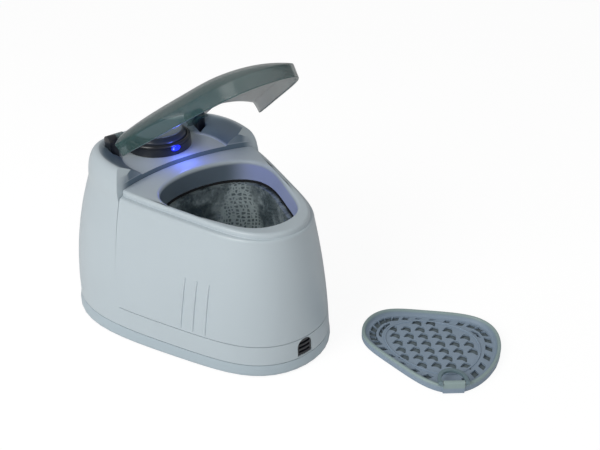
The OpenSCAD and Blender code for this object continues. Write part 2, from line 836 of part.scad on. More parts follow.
module control_pcb() {
    color(board_col)
        difference() {
            translate([-control_half, pod_y - 21, control_z])
                cube([2 * control_half, 36, board_t]);
            for (x = [-control_post_x, control_post_x])
                translate([x, pod_y, control_z - 1])
                    cylinder(d = 2.4, h = 5, $fn = 24);
        }
}

module tact_switch() {
    color([0.2, 0.2, 0.22])
        translate([0, pod_y, control_z + board_t]) {
            translate([-3, -3, 0])
                cube([6, 6, 1.6]);
            cylinder(d = 3, h = 3.4 - button_travel, $fn = 32);
        }
}

module control_pcb_screws() {
    color(steel_col)
        for (x = [-control_post_x, control_post_x])
            translate([x, pod_y, control_z])
                screw(1.96, 4, 1.4, 5);
}

// Driver electronics in the base
module driver_pcb() {
    color(board_col)
        difference() {
            translate([-driver_half, driver_front, driver_z])
                cube([2 * driver_half, driver_rear - driver_front, board_t]);
            for (y = [pcb_post_front, pcb_post_rear])
                both_sides()
                    translate([pcb_post_x, y, driver_z - 1])
                        cylinder(d = 2.4, h = 5, $fn = 24);
        }
}

module driver_pcb_screws() {
    color(steel_col)
        for (y = [pcb_post_front, pcb_post_rear])
            both_sides()
                translate([pcb_post_x, y, driver_z + board_t])
                    mirror([0, 0, 1])
                        screw(1.96, 4, 1.4, 6);
}

board_top = driver_z + board_t;
module transformer() {
    color([0.85, 0.70, 0.25])
        translate([-32, 40, board_top]) {
            cube([24, 20, 3]);
            translate([0, 0, 3]) cube([24, 20, 14]);
            translate([3, -3, 5]) cube([18, 26, 9]);
        }
}

sink_x = 6;
sink_y = 62;
module heat_sink() {
    color([0.75, 0.76, 0.78])
        translate([sink_x, sink_y, board_top]) {
            cube([26, 2, 24]);
            for (k = [0:4])
                translate([k * 6, 2, 0])
                    cube([2, 8, 24]);
        }
}

module power_transistor() {
    color([0.12, 0.12, 0.13])
        translate([sink_x + 8, sink_y - 4.4, board_top + 4])
            cube([10, 4.4, 15]);
    color(steel_col)
        for (k = [0:2])
            translate([sink_x + 10 + 2.5 * k, sink_y - 3, board_top])
                cube([0.8, 0.6, 4.1]);
}

module capacitors() {
    color([0.15, 0.20, 0.35]) {
        translate([-22, 71, board_top])
            cylinder(d = 12, h = 20, $fn = 48);
        translate([24, 34, board_top])
            cylinder(d = 10, h = 16, $fn = 48);
    }
}

module tuning_coil() {
    color([0.72, 0.42, 0.18])
        translate([10, 44, board_top])
            rotate_extrude($fn = 48)
                polygon([[4, 0], [9, 0], [9, 8], [4, 8]]);
}

module fuse() {
    color([0.85, 0.85, 0.86])
        translate([-8, 72, board_top + 2.6]) {
            rotate([0, 90, 0])
                cylinder(d = 5, h = 12, $fn = 32);
            translate([0.5, -2, -2.6]) cube([1.5, 4, 1.2]);
            translate([10, -2, -2.6]) cube([1.5, 4, 1.2]);
        }
}

// Mains inlet in the rear wall
socket_w = 12;
socket_hh = 7;
socket_deep = 11;
module power_inlet() {
    color([0.12, 0.12, 0.13])
        difference() {
            union() {
                translate([-inlet_w / 2 + 0.2, inlet_face - inlet_deep, inlet_z - inlet_hh / 2 + 0.2])
                    cube([inlet_w - 0.4, inlet_deep, inlet_hh - 0.4]);
                translate([-inlet_w / 2 - 2.6, inlet_face, inlet_z - inlet_hh / 2 - 2.6])
                    cube([inlet_w + 5.2, 1.2, inlet_hh + 5.2]);
            }
            translate([-socket_w / 2, inlet_face - socket_deep, inlet_z - socket_hh / 2])
                cube([socket_w, socket_deep + 5, socket_hh]);
        }
    color(steel_col)
        for (x = [-2.8, 2.8])
            translate([x, inlet_face - socket_deep - 1, inlet_z])
                rotate([-90, 0, 0])
                    cylinder(d = 2, h = 8, $fn = 24);
}

// Basket, drawn round the opening's middle, then set down beside the body
basket_len = open_nose + open_rear - 2 * basket_gap;
basket_o = [basket_len / 2, basket_len / 2, open_half - basket_gap, open_o[3], open_o[4], open_o[5]];
rim_w = 2.2;
ring_o = [basket_len * 0.33, basket_len * 0.36, open_half * 0.70, 0.16, 0.05, 0];
ring_w = 1;
module basket_place() {
    translate([basket_x, basket_y, 0])
        rotate([0, 0, basket_turn])
            children();
}

slot_rows = 11;
slot_w = 3;
slot_l = 5.6;
module slot_field() {
    intersection() {
        difference() {
            polygon(flat_ring(basket_o, -rim_w - 2.4));
            difference() {
                polygon(flat_ring(ring_o, 1.6));
                polygon(flat_ring(ring_o, -ring_w - 1.4));
            }
            translate([bail_spot[0], bail_spot[1]])
                rotate(bail_dir)
                    translate([-10, -bail_half]) square([20, 2 * bail_half]);
        }
        for (j = [-slot_rows:slot_rows], i = [-slot_rows:slot_rows])
            translate([slot_pitch * 0.5 * (i - j), slot_pitch * 0.42 * (i + j)])
                rotate(40)
                    square([slot_l, slot_w], center = true);
    }
}

bail_a = 131;
bail_half = 9;
bail_reach = 12.5;
bail_t = 1.8;
bail_pin_d = 1.6;
bail_leg = 2.2;
bail_spot = offset_point(basket_o, bail_a, -rim_w / 2);
bail_out = offset_point(basket_o, bail_a, 0) - bail_spot;
bail_dir = atan2(bail_out[1], bail_out[0]);
bail_z = basket_h + 1.8;
module bail_frame() {
    translate([bail_spot[0], bail_spot[1], 0])
        rotate([0, 0, bail_dir])
            children();
}

module basket() {
    color(basket_col)
        basket_place()
            difference() {
                union() {
                    difference() {
                        union() {
                            prism(basket_o, -0.5, 0, 1);
                            prism(basket_o, 0, 0.6, basket_h - 0.6);
                            prism(basket_o, -0.5, basket_h - 0.7, basket_h);
                        }
                        prism(basket_o, -rim_w, basket_floor, basket_h + 1);
                    }
                    difference() {
                        prism(ring_o, 0, basket_floor - 0.5, basket_floor + 0.7);
                        prism(ring_o, -ring_w, 0, basket_h);
                    }
                    bail_frame() {
                        translate([-rim_w / 2 - 0.4, bail_leg + 0.4 - bail_half, 0.6])
                            cube([rim_w + 0.8, 2 * (bail_half - bail_leg - 0.4), bail_z - 0.6]);
                        translate([0, bail_half - bail_leg - 0.4, bail_z])
                            rotate([90, 0, 0])
                                cylinder(r = rim_w / 2 + 0.4, h = 2 * (bail_half - bail_leg - 0.4), $fn = 32);
                    }
                }
                translate([0, 0, -1])
                    linear_extrude(basket_floor + 2)
                        slot_field();
                bail_frame()
                    translate([0, bail_half, bail_z])
                        rotate([90, 0, 0])
                            cylinder(r = bail_pin_d / 2 + pin_gap, h = 2 * bail_half, $fn = 32);
            }
}

module bail_loop(inset) {
    r = bail_half - inset;
    translate([bail_half - bail_reach, 0])
        circle(r = r, $fn = 64);
    translate([bail_half - bail_reach, -r])
        square([bail_reach - bail_half + (inset > 0 ? 10 : 0), 2 * r]);
}

module basket_bail() {
    color(basket_col)
        basket_place()
            bail_frame()
                translate([0, 0, bail_z])
                    difference() {
                        union() {
                            translate([0, 0, -bail_t / 2])
                                linear_extrude(bail_t)
                                    difference() {
                                        bail_loop(0);
                                        bail_loop(bail_leg);
                                    }
                            for (s = [-1, 1])
                                translate([0, s * (bail_half - bail_leg / 2) + bail_leg / 2, 0])
                                    rotate([90, 0, 0])
                                        cylinder(r = 1.5, h = bail_leg, $fn = 32);
                        }
                        translate([0, bail_half + 1, 0])
                            rotate([90, 0, 0])
                                cylinder(d = bail_pin_d, h = 2 * bail_half + 2, $fn = 32);
                    }
}

module bail_pins() {
    color(steel_col)
        basket_place()
            bail_frame()
                translate([0, bail_half - 0.2, bail_z])
                    rotate([90, 0, 0])
                        cylinder(d = bail_pin_d, h = 2 * bail_half - 0.4, $fn = 32);
}

grip_pad();
base_pan();
rear_housing();
front_shell();
vent_grille();
housing_screws();
tank();
tank_gasket();
tank_clamp();
clamp_screws();
piezo_disc();
piezo_leads();
lid();
hinge_lugs();
hinge_pins();
pod_ring();
button_cap();
button_inlay();
button_spring();
led_lens();
indicator_led();
control_pcb();
tact_switch();
control_pcb_screws();
driver_pcb();
driver_pcb_screws();
transformer();
heat_sink();
power_transistor();
capacitors();
tuning_coil();
fuse();
power_inlet();
inlet_leads();
basket();
basket_bail();
bail_pins();
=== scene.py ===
"""Lidded tank cleaner for contact lenses with its loose basket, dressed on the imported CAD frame."""

import json
from math import acos, atan2, cos, degrees, hypot, pi, radians, sin

import bpy
from mathutils import Matrix, Vector


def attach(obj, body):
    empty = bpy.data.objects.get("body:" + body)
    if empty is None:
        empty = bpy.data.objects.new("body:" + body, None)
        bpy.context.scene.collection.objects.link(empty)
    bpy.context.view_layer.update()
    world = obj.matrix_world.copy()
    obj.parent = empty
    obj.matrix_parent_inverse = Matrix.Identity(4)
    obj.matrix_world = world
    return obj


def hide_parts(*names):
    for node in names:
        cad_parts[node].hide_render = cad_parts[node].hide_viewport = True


bl_info = {
    "name": "Lens Cleaner",
    "version": (1, 0, 0),
    "blender": (4, 5, 0),
    "location": "View3D > Sidebar > Lens Cleaner",
    "description": "Models the housing, lid, tank, button and basket of a small lens cleaner",
    "category": "Object",
}

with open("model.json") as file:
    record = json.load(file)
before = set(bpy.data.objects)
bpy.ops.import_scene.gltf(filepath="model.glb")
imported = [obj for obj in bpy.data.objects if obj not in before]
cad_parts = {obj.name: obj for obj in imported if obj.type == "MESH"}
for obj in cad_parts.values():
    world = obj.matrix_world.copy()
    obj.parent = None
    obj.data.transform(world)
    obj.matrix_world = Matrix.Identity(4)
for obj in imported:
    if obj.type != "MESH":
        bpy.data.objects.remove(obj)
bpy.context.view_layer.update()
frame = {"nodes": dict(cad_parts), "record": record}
MM = 0.001


def srgb(red, green, blue):
    """Linear colour of a display colour given in 0 to 255."""
    values = [v / 255 for v in (red, green, blue)]
    return tuple(v / 12.92 if v <= 0.04045 else ((v + 0.055) / 1.055) ** 2.4 for v in values)


# Outlines and mould lines of the housing, in millimetres, as the CAD source has them


class Outline:
    """Pear-shaped closed curve, drawn from its nose round by the right side."""

    def __init__(self, nose, rear, half, taper, waist, shoulder):
        self.numbers = (nose, rear, half, taper, waist, shoulder)

    def mixed(self, other, share):
        return Outline(*[a + (b - a) * share for a, b in zip(self.numbers, other.numbers)])

    def point(self, angle):
        nose, rear, half, taper, waist, shoulder = self.numbers
        a = radians(angle)
        wide = 1 - taper * cos(a) + waist * cos(2 * a) + shoulder * cos(3 * a)
        return half * sin(a) * wide, (rear - nose) / 2 - (rear + nose) / 2 * cos(a)

    def offset(self, angle, out):
        x, y = self.point(angle)
        ahead, behind = self.point(angle + 1), self.point(angle - 1)
        dx, dy = ahead[0] - behind[0], ahead[1] - behind[1]
        length = hypot(dx, dy)
        return x + out * dy / length, y - out * dx / length

    def ring(self, out, z, count):
        return [(*self.offset(360 * i / count, out), z) for i in range(count)]


BASE_LINE = Outline(97.5, 97, 73.6, 0.20, 0.044, 0.07)
SHOULDER_LINE = Outline(89, 90, 58, 0.24, 0.112, 0.052)
OPENING_LINE = Outline(76.5, 13.5, 39.9, 0.26, 0.124, 0.044)
SEAM_H, BAND_H, SIDE_H, LEDGE_H, DECK_H, REAR_DECK_H, CHEEK_H = 9, 22, 87.5, 90.5, 94, 97, 106.5
WALL = 2.4
NET_ACROSS, NET_TOP, VIEW = 19, 76, radians(-40.46)
HINGE_Y, HINGE_H, LID_OPEN, LID_CROWN = 57, 108.5, 35, 17
BULGE_NOSE, BULGE_REAR = 1.3, 4.6
COLLAR_H, COLLAR_WALL = 79.5, 2
SEAM_TOP_Y, SEAM_LOW_Y = 17, 3
LAMP_H = 101.6
POD_Y, POD_GAP = 55, 24.5
REAR_RISE, CREST_ROLL, CHEEK_ROUND = 3, 8, 10
LID_GAP, LID_CENTRE, LID_SKIRT, LID_FLATNESS = 0.9, -22, 5, 2.6
ARCH_Y, ARCH_R, ARM_OUT = 27.5, 17.6, 30.7
NOTCH_R, NOTCH_Y = 30, 45
EAR_IN, EAR_WIDE, EAR_R, EAR_FRONT, BORE_R = 25.02, 5.66, 4.18, 39, 1.55
VENT_R, VENT_H = 5.6, 16.2
RIB_LOW, RIB_HIGH, RIB_MIDDLE, RIB_PITCH = 24, 58, -49, 8
BAIL_ANGLE, BAIL_AXIS_H = 131, 7.2
SAME_POINT = 0.000002
FLOOR_GLOW_SHARE = 0.82
RISER_HALF, RISER_BOW = 50, 10
RISER_R = (RISER_HALF * RISER_HALF + RISER_BOW * RISER_BOW) / (2 * RISER_BOW)
RISER_Y = SEAM_TOP_Y + RISER_BOW - RISER_R
RING = 160


def ease(x):
    u = min(1, max(0, x))
    return u * u * (3 - 2 * u)


def side_point(angle, z, out):
    share = (z - SEAM_H) / (SIDE_H - SEAM_H)
    t = min(1, max(0, share))
    bulge = BULGE_NOSE + (BULGE_REAR - BULGE_NOSE) * (1 - cos(radians(angle))) / 2
    line = BASE_LINE.mixed(SHOULDER_LINE, share)
    return (*line.offset(angle, out + 4 * t * (1 - t) * bulge), z)


def side_ring(z, out, count=RING):
    return [side_point(360 * i / count, z, out) for i in range(count)]


def shoulder_point(angle, out, z):
    return (*SHOULDER_LINE.offset(angle, out), z)


def ledge_width(angle):
    return 1.8 + 2.4 * ease(abs(sin(radians(angle / 2))) * 1.6)


def seam_y(z):
    return SEAM_TOP_Y - (SEAM_TOP_Y - SEAM_LOW_Y) * (DECK_H - z) / (DECK_H - BAND_H)


def steps(low, high, count):
    return [low + (high - low) * k / count for k in range(count + 1)]


def angles(count=RING):
    return [360 * i / count for i in range(count)]


# Modelling helpers


def clear_selection():
    if bpy.context.object and bpy.context.object.mode != "OBJECT":
        bpy.ops.object.mode_set(mode="OBJECT")
    bpy.ops.object.select_all(action="DESELECT")


def pick(obj):
    clear_selection()
    obj.select_set(True)
    bpy.context.view_layer.objects.active = obj
    return obj


def merge_points(obj, distance=SAME_POINT):
    pick(obj)
    bpy.ops.object.mode_set(mode="EDIT")
    bpy.ops.mesh.select_all(action="SELECT")
    bpy.ops.mesh.remove_doubles(threshold=distance)
    bpy.ops.object.mode_set(mode="OBJECT")


def loft(name, rings, joined=False):
    """Skin a stack of rings, either closed by a cap at each end or joined from the last to the first."""
    clear_selection()
    stack = rings + [rings[0]] if joined else rings
    round_count, row_count = len(rings[0]), len(stack)
    bpy.ops.mesh.primitive_grid_add(x_subdivisions=round_count, y_subdivisions=row_count - 1, size=1)
    obj = bpy.context.object
    obj.name = name
    points = []
    for row in stack:
        points += [c * MM for p in row + [row[0]] for c in p]
    obj.data.vertices.foreach_set("co", points)
    obj.data.update()
    bpy.ops.object.mode_set(mode="EDIT")
    bpy.ops.mesh.select_all(action="SELECT")
    bpy.ops.mesh.remove_doubles(threshold=SAME_POINT)
    if not joined:
        bpy.ops.mesh.select_all(action="SELECT")
        bpy.ops.mesh.fill_holes(sides=0)
    bpy.ops.mesh.select_all(action="SELECT")
    bpy.ops.mesh.normals_make_consistent(inside=False)
    bpy.ops.object.mode_set(mode="OBJECT")
    return obj


def prism(name, outline, low, high):
    """Upright solid on a flat outline."""
    return loft(name, [[(x, y, low) for x, y in outline], [(x, y, high) for x, y in outline]])


def side_slab(name, outline, half=100):
    """Solid drawn in the Y-Z plane and extruded across the body."""
    return loft(name, [[(-half, y, z) for y, z in outline], [(half, y, z) for y, z in outline]])


def circle(radius, x=0, y=0, count=RING, start=0, end=360):
    span = end - start
    last = count if span == 360 else count - 1
    return [(x + radius * cos(radians(start + span * i / last)),
             y + radius * sin(radians(start + span * i / last)))
            for i in range(count)]


def block(name, low, high):
    (x0, y0, z0), (x1, y1, z1) = low, high
    return prism(name, [(x0, y0), (x1, y0), (x1, y1), (x0, y1)], z0, z1)


def turned(name, profile, x=0, y=0, count=96):
    """Solid of revolution about an upright axis, from (radius, height) pairs."""
    rings = []
    for radius, z in profile:
        rings.append([(x + radius * cos(2 * pi * i / count), y + radius * sin(2 * pi * i / count), z)
                      for i in range(count)])
    return loft(name, rings)


def rod(name, radius, start, length, count=48):
    """Round solid along X."""
    x, y, z = start
    rings = [[(x + d, y + radius * cos(2 * pi * i / count), z + radius * sin(2 * pi * i / count))
              for i in range(count)] for d in (0, length)]
    return loft(name, rings)


def combine(obj, tool, operation):
    """Cut, join or intersect with a tool that is used up."""
    pick(obj)
    change = obj.modifiers.new(operation.title(), "BOOLEAN")
    change.operation = operation
    change.solver = "MANIFOLD"
    change.object = tool
    bpy.ops.object.modifier_apply(modifier=change.name)
    bpy.data.objects.remove(tool, do_unlink=True)
    return obj


def cut(obj, *tools):
    for tool in tools:
        combine(obj, tool, "DIFFERENCE")
    return obj


def join(objects):
    clear_selection()
    for obj in objects:
        obj.select_set(True)
    bpy.context.view_layer.objects.active = objects[0]
    bpy.ops.object.join()
    return bpy.context.object


def soften_edges(obj, width, angle=35, segments=2):
    pick(obj)
    bevel = obj.modifiers.new("Edges", "BEVEL")
    bevel.width = width * MM
    bevel.segments = segments
    bevel.limit_method = "ANGLE"
    bevel.angle_limit = radians(angle)
    bevel.use_clamp_overlap = True
    bpy.ops.object.modifier_apply(modifier=bevel.name)
    return obj


def shade(obj, angle=32):
    pick(obj)
    bpy.ops.object.shade_smooth_by_angle(angle=radians(angle))
    return obj


def finish_piece(obj, name, body, material, nodes=(), angle=32):
    """Name, shade, paint and mount one piece."""
    shade(obj, angle)
    obj.name = name
    obj.data.name = name
    obj.data.materials.clear()
    obj.data.materials.append(material)
    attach(obj, body)
    if nodes:
        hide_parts(*nodes)
    return obj


def node_copy(node):
    """Editable copy of a CAD node's mesh with its flat faces made whole."""
    source = frame["nodes"][node]
    obj = source.copy()
    obj.data = source.data.copy()
    obj.parent = None
    obj.matrix_world = source.matrix_world
    bpy.context.scene.collection.objects.link(obj)
    merge_points(obj, 0.000005)
    pick(obj)
    bpy.ops.object.mode_set(mode="EDIT")
    bpy.ops.mesh.select_all(action="SELECT")
    bpy.ops.mesh.dissolve_limited(angle_limit=radians(0.3))
    bpy.ops.object.mode_set(mode="OBJECT")
    return obj


def turn_about_x(obj, centre, angle):
    y, z = centre[0] * MM, centre[1] * MM
    move = Matrix.Translation((0, y, z))
    obj.data.transform(move @ Matrix.Rotation(angle, 4, "X") @ move.inverted())
    return obj


# Shader helpers


class Value:
    """One number of a shader, on which arithmetic adds Math nodes."""

    def __init__(self, finish, socket):
        self.finish = finish
        self.socket = socket

    def math(self, operation, *others):
        return self.finish.value("ShaderNodeMath", {"operation": operation}, self, *others)

    def __add__(self, other):
        return self.math("ADD", other)

    __radd__ = __add__

    def __mul__(self, other):
        return self.math("MULTIPLY", other)

    __rmul__ = __mul__

    def __sub__(self, other):
        return self.math("SUBTRACT", other)

    def __rsub__(self, other):
        return self.finish.value("ShaderNodeMath", {"operation": "SUBTRACT"}, other, self)

    def power(self, other):
        return self.math("POWER", other)

    def between(self, low, high):
        """0 below low, 1 above high and a soft step from one to the other."""
        node = self.finish.node("ShaderNodeMapRange", {"interpolation_type": "SMOOTHSTEP"}, self, low, high)
        return Value(self.finish, node.outputs[0])


class Finish:
    """Builds one procedural material round a Principled shader."""

    def __init__(self, name, **constants):
        self.material = bpy.data.materials.new(name)
        self.material.use_nodes = True
        self.nodes = self.material.node_tree.nodes
        self.links = self.material.node_tree.links
        self.shader = self.nodes["Principled BSDF"]
        for key, value in constants.items():
            self.shader.inputs[key.replace("_", " ").title().replace("Ior", "IOR")].default_value = value
        self.place = self.node("ShaderNodeTexCoord", {}).outputs["Object"]

    def node(self, kind, settings, *inputs, **named):
        node = self.nodes.new(kind)
        for key, value in settings.items():
            setattr(node, key, value)
        for position, value in enumerate(inputs):
            self.feed(node.inputs[position], value)
        for key, value in named.items():
            self.feed(node.inputs[key.replace("_", " ").title()], value)
        return node

    def feed(self, socket, value):
        if isinstance(value, Value):
            self.links.new(value.socket, socket)
        elif isinstance(value, bpy.types.NodeSocket):
            self.links.new(value, socket)
        elif value is not None:
            socket.default_value = value

    def value(self, kind, settings, *inputs, output=0, **named):
        return Value(self, self.node(kind, settings, *inputs, **named).outputs[output])

    def noise(self, scale, detail=2.0, roughness=0.5, place=None):
        node = self.node("ShaderNodeTexNoise", {}, vector=place or self.place, scale=scale, detail=detail,
                         roughness=roughness)
        return Value(self, node.outputs["Fac"])

    def cells(self, scale, feature="F1", randomness=1.0, place=None):
        node = self.node("ShaderNodeTexVoronoi", {"feature": feature}, vector=place or self.place,
                         scale=scale,
                         randomness=randomness)
        return Value(self, node.outputs["Distance"])

    def mapped(self, scale):
        return self.node("ShaderNodeMapping", {}, vector=self.place, scale=scale).outputs[0]

    def axes(self, place=None):
        node = self.node("ShaderNodeSeparateXYZ", {}, place or self.place)
        return [Value(self, socket) for socket in node.outputs]

    def blend(self, factor, first, second):
        """Colour that runs from first to second."""
        node = self.node("ShaderNodeMix", {"data_type": "RGBA"})
        self.feed(node.inputs[0], factor)
        for socket, colour in ((node.inputs[6], first), (node.inputs[7], second)):
            self.feed(socket, (*colour, 1) if isinstance(colour, tuple) and len(colour) == 3 else colour)
        return node.outputs[2]

    def colour(self, value):
        self.feed(self.shader.inputs["Base Color"], value)
        return self

    def rough(self, value):
        self.feed(self.shader.inputs["Roughness"], value)
        return self

    def bump(self, height, strength, distance):
        node = self.node("ShaderNodeBump", {}, strength=strength, distance=distance, height=height)
        self.feed(self.shader.inputs["Normal"], node.outputs[0])
        return self


def darker(colour, share):
    return tuple(c * share for c in colour)


def inside_outline(line, x, y, margin):
    """Mask that is one where a point lies within the outline by the margin."""
    nose, rear, half, taper, waist, shoulder = line.numbers
    c = ((rear - nose) / 2 * MM - y) * (2 / ((rear + nose) * MM))
    squared = c * c
    sine = (1 - squared).math("MAXIMUM", 0.0).power(0.5)
    wide = 1 - c * taper + (squared * 2 - 1) * waist + (squared * c * 4 - c * 3) * shoulder
    room = sine * wide * (half * MM) - x.math("ABSOLUTE")
    return room.between(margin * MM, (margin + 1) * MM) * (1 - squared.between(1.1, 1.2))


def mouth_shade(paint, tone):
    """Painted shade on the opening's rear and left inner wall, and painted violet lamp light on its right
    one.
    """
    x, y, z = paint.axes()
    nx, ny, nz = paint.axes(paint.node("ShaderNodeNewGeometry", {}).outputs["Normal"])
    wall = inside_outline(OPENING_LINE, x, y, -1.5) * (1 - z.between(0.0905, 0.0925))
    # painted shade: the inner wall is darkened where its normal faces back and left
    deep = paint.blend(wall * (nx * 0.6 - ny * 0.8).between(-0.15, 0.55) * 0.85, tone, srgb(74, 92, 108))
    # painted light: the lamp's violet is laid on the inner wall that faces left
    return paint.blend(wall * (0 - nx).between(0.35, 0.9) * 0.7, deep, srgb(150, 164, 222))


def cheek_shade(paint, tone):
    """Painted shade on the cheeks' inner sides and on the low step before the rear deck."""
    x, y, z = paint.axes()
    nx, ny, nz = paint.axes(paint.node("ShaderNodeNewGeometry", {}).outputs["Normal"])
    near = 1 - x.math("ABSOLUTE").between(0.044, 0.052)
    inward = 0 - nx * x.math("SIGN", 0.0)
    # painted shade on the cheeks' inner sides, picked out by normals that face inward
    cheek = z.between(0.0970, 0.0985) * inward.between(0.08, 0.4)
    # painted shade on the low step before the rear deck, picked out by normals that face the front
    step = near * (1 - z.between(0.0972, 0.0978)) * z.between(0.093, 0.0935) * (0 - ny).between(0.3, 0.7)
    return paint.blend((cheek * 0.9 + step * 0.9).math("MINIMUM", 1.0), tone, srgb(84, 106, 120))


def moulded_plastic(name, colour, roughness=0.36, grain=0.10, shade=None):
    """Satin moulding: faint cloudiness, fine spark-eroded grain and handling marks; a shade function, where
    given, paints shade and lamp light into the colour.
    """
    paint = Finish(name, coat_weight=0.12, coat_roughness=0.3, specular_ior_level=0.45)
    cloud = paint.noise(26, 3, 0.55)
    speck = paint.noise(2600, 2, 0.6)
    smudge = paint.noise(70, 4, 0.62).between(0.45, 0.75)
    tone = paint.blend(cloud * 0.7 + speck * 0.3, darker(colour, 0.965), darker(colour, 1.03))
    # painted shade and light from the shade function, where one is given
    paint.colour(shade(paint, tone) if shade else tone)
    paint.rough(roughness - 0.04 + smudge * 0.07 + speck * 0.03)
    paint.bump(speck * 0.7 + cloud * 0.3, grain, 0.00012)
    return paint.material


def dark_plastic(name, colour, roughness=0.3):
    paint = Finish(name, coat_weight=0.25, coat_roughness=0.18)
    cloud = paint.noise(60, 3)
    rub = paint.noise(420, 4, 0.7).between(0.58, 0.8)
    paint.colour(paint.blend(rub * 0.5 + cloud * 0.3, colour, darker(colour, 1.7)))
    paint.rough(roughness + rub * 0.12)
    paint.bump(paint.noise(2200, 2), 0.06, 0.0001)
    return paint.material


def smoked_clear(name, colour, alpha, edge=None):
    """Smoked clear moulding, denser where it is seen edge on and on its cut edge."""
    paint = Finish(name, ior=1.45, coat_weight=0.1, coat_roughness=0.08, specular_ior_level=0.3)
    facing = paint.value("ShaderNodeLayerWeight", {}, 0.5, output=1)
    haze = paint.noise(38, 3)
    dust = paint.noise(900, 3, 0.7).between(0.62, 0.8)
    paint.colour(paint.blend(haze * 0.5 + facing * 0.5, darker(colour, 1.15), darker(colour, 0.55)))
    paint.rough(0.14 + dust * 0.12 + haze * 0.04)
    dense = facing.power(2.2) * 0.55 + alpha
    if edge:
        x, y, z = paint.axes()
        turn = radians(LID_OPEN)
        height = (y - HINGE_Y * MM) * sin(turn) + (z - HINGE_H * MM) * cos(turn) + HINGE_H * MM
        dense = dense + (1 - height.between(edge * MM, (edge + 0.3) * MM)) * 0.5
    paint.feed(paint.shader.inputs["Alpha"], dense.math("MINIMUM", 0.97))
    return paint.material


def drawn_steel(name, colour):
    paint = Finish(name, metallic=1.0)
    streak = paint.noise(60, 6, 0.65, paint.mapped((1, 1, 14)))
    stain = paint.noise(45, 3)
    paint.colour(paint.blend(stain * 0.6 + streak * 0.4, darker(colour, 0.8), darker(colour, 1.12)))
    paint.rough(0.22 + streak * 0.16)
    paint.bump(streak, 0.05, 0.0001)
    return paint.material


def wet_tank(name, dark, light):
    """Tank seen through its rippled fill: smoky depth and pale wisps, with painted light from the ripples as
    a pale netted pattern over the sound disc.
    """
    paint = Finish(name, metallic=0.25, coat_weight=0.9, coat_roughness=0.05, specular_ior_level=0.6)
    x, y, z = paint.axes()
    swirl = paint.noise(40, 6, 0.62)
    drift = paint.noise(110, 5, 0.72)
    bend = paint.node("ShaderNodeVectorMath", {"operation": "SCALE"},
                      paint.node("ShaderNodeTexNoise", {}, vector=paint.place, scale=28.0).outputs["Color"])
    bend.inputs["Scale"].default_value = 0.012
    warped = paint.node("ShaderNodeVectorMath", {"operation": "ADD"}, paint.place, bend.outputs[0]).outputs[0]
    # painted light: a pale netted pattern standing for the light that the rippled water throws
    painted_light_net = 1 - paint.cells(400, "DISTANCE_TO_EDGE", 0.5, warped).between(0.05, 0.28)
    across = x * cos(VIEW) + y * sin(VIEW) - NET_ACROSS * MM
    spread = (NET_TOP * MM - z) * 0.35 + 0.006
    # painted light: the widening band over the sound disc, set along the camera's heading, where the pale
    # pattern shows
    painted_light_cone = 1 - (across.math("ABSOLUTE") - spread).between(-0.003, 0.003)
    veil = swirl.between(0.4, 0.62) * 0.6 + drift.between(0.46, 0.68) * 0.4
    pale = (painted_light_net * painted_light_cone * 0.8 + painted_light_cone * 0.15 + veil * (1 - painted_light_cone * 0.7)).math("MINIMUM", 1.0)
    paint.colour(paint.blend(pale, dark, light))
    paint.rough(0.16 + swirl * 0.18)
    paint.bump(swirl * 0.5 + painted_light_net * painted_light_cone, 0.25, 0.0012)
    return paint.material


def soft_rubber(name, colour):
    paint = Finish(name, specular_ior_level=0.3)
    speck = paint.noise(1500, 3, 0.7)
    paint.colour(paint.blend(speck, darker(colour, 0.75), darker(colour, 1.4)))
    paint.rough(0.7 + speck * 0.2)
    paint.bump(speck, 0.2, 0.0002)
    return paint.material


def knurled_inlay(name, colour):
    """Finely pebbled disc of the button."""
    paint = Finish(name, coat_weight=0.2, coat_roughness=0.25)
    pebble = 1 - paint.cells(560, "F1", 0.25).between(0.15, 0.62)
    wear = paint.noise(60, 4, 0.6)
    paint.colour(paint.blend(pebble * 0.75 + wear * 0.25, darker(colour, 0.62), darker(colour, 1.2)))
    paint.rough(0.42 - pebble * 0.12 + wear * 0.06)
    paint.bump(pebble, 0.5, 0.0004)
    return paint.material


def glowing_lens(name, colour, strength):
    paint = Finish(name, coat_weight=0.8, coat_roughness=0.05, roughness=0.12)
    x, y, z = paint.axes()
    off_x, off_z = x, z - LAMP_H * MM
    heart = 1 - (off_x * off_x + off_z * off_z * 2.5).power(0.5).between(0.0004, 0.0038)
    # painted highlight: a small pale spot left of the glow's heart, added to the emission
    painted_highlight = 1 - ((off_x + 0.0022) * (off_x + 0.0022) + off_z * off_z).power(0.5).between(0.0002, 0.0009)
    glow = paint.blend(painted_highlight, paint.blend(heart, srgb(8, 14, 120), colour), srgb(150, 180, 255))
    paint.colour(paint.blend(paint.noise(400), colour, darker(colour, 0.8)))
    paint.feed(paint.shader.inputs["Emission Color"], glow)
    paint.shader.inputs["Emission Strength"].default_value = strength
    return paint.material


def circuit_board(name, colour, copper):
    paint = Finish(name, coat_weight=0.5, coat_roughness=0.2)
    brick = paint.node("ShaderNodeTexBrick", {"offset": 0.5}, vector=paint.mapped((1, 1, 0.01)), scale=150.0)
    track = Value(paint, brick.outputs["Fac"])
    weave = paint.noise(1400, 2)
    paint.colour(paint.blend(track * 0.6 + weave * 0.2, colour, copper))
    paint.rough(0.3 + weave * 0.15)
    paint.bump(track, 0.2, 0.0001)
    return paint.material


def bare_metal(name, colour, roughness=0.28, stretch=(1, 1, 8)):
    paint = Finish(name, metallic=1.0)
    streak = paint.noise(260, 4, 0.6, paint.mapped(stretch))
    paint.colour(paint.blend(streak, darker(colour, 0.82), darker(colour, 1.1)))
    paint.rough(roughness + streak * 0.12)
    paint.bump(streak, 0.08, 0.00008)
    return paint.material


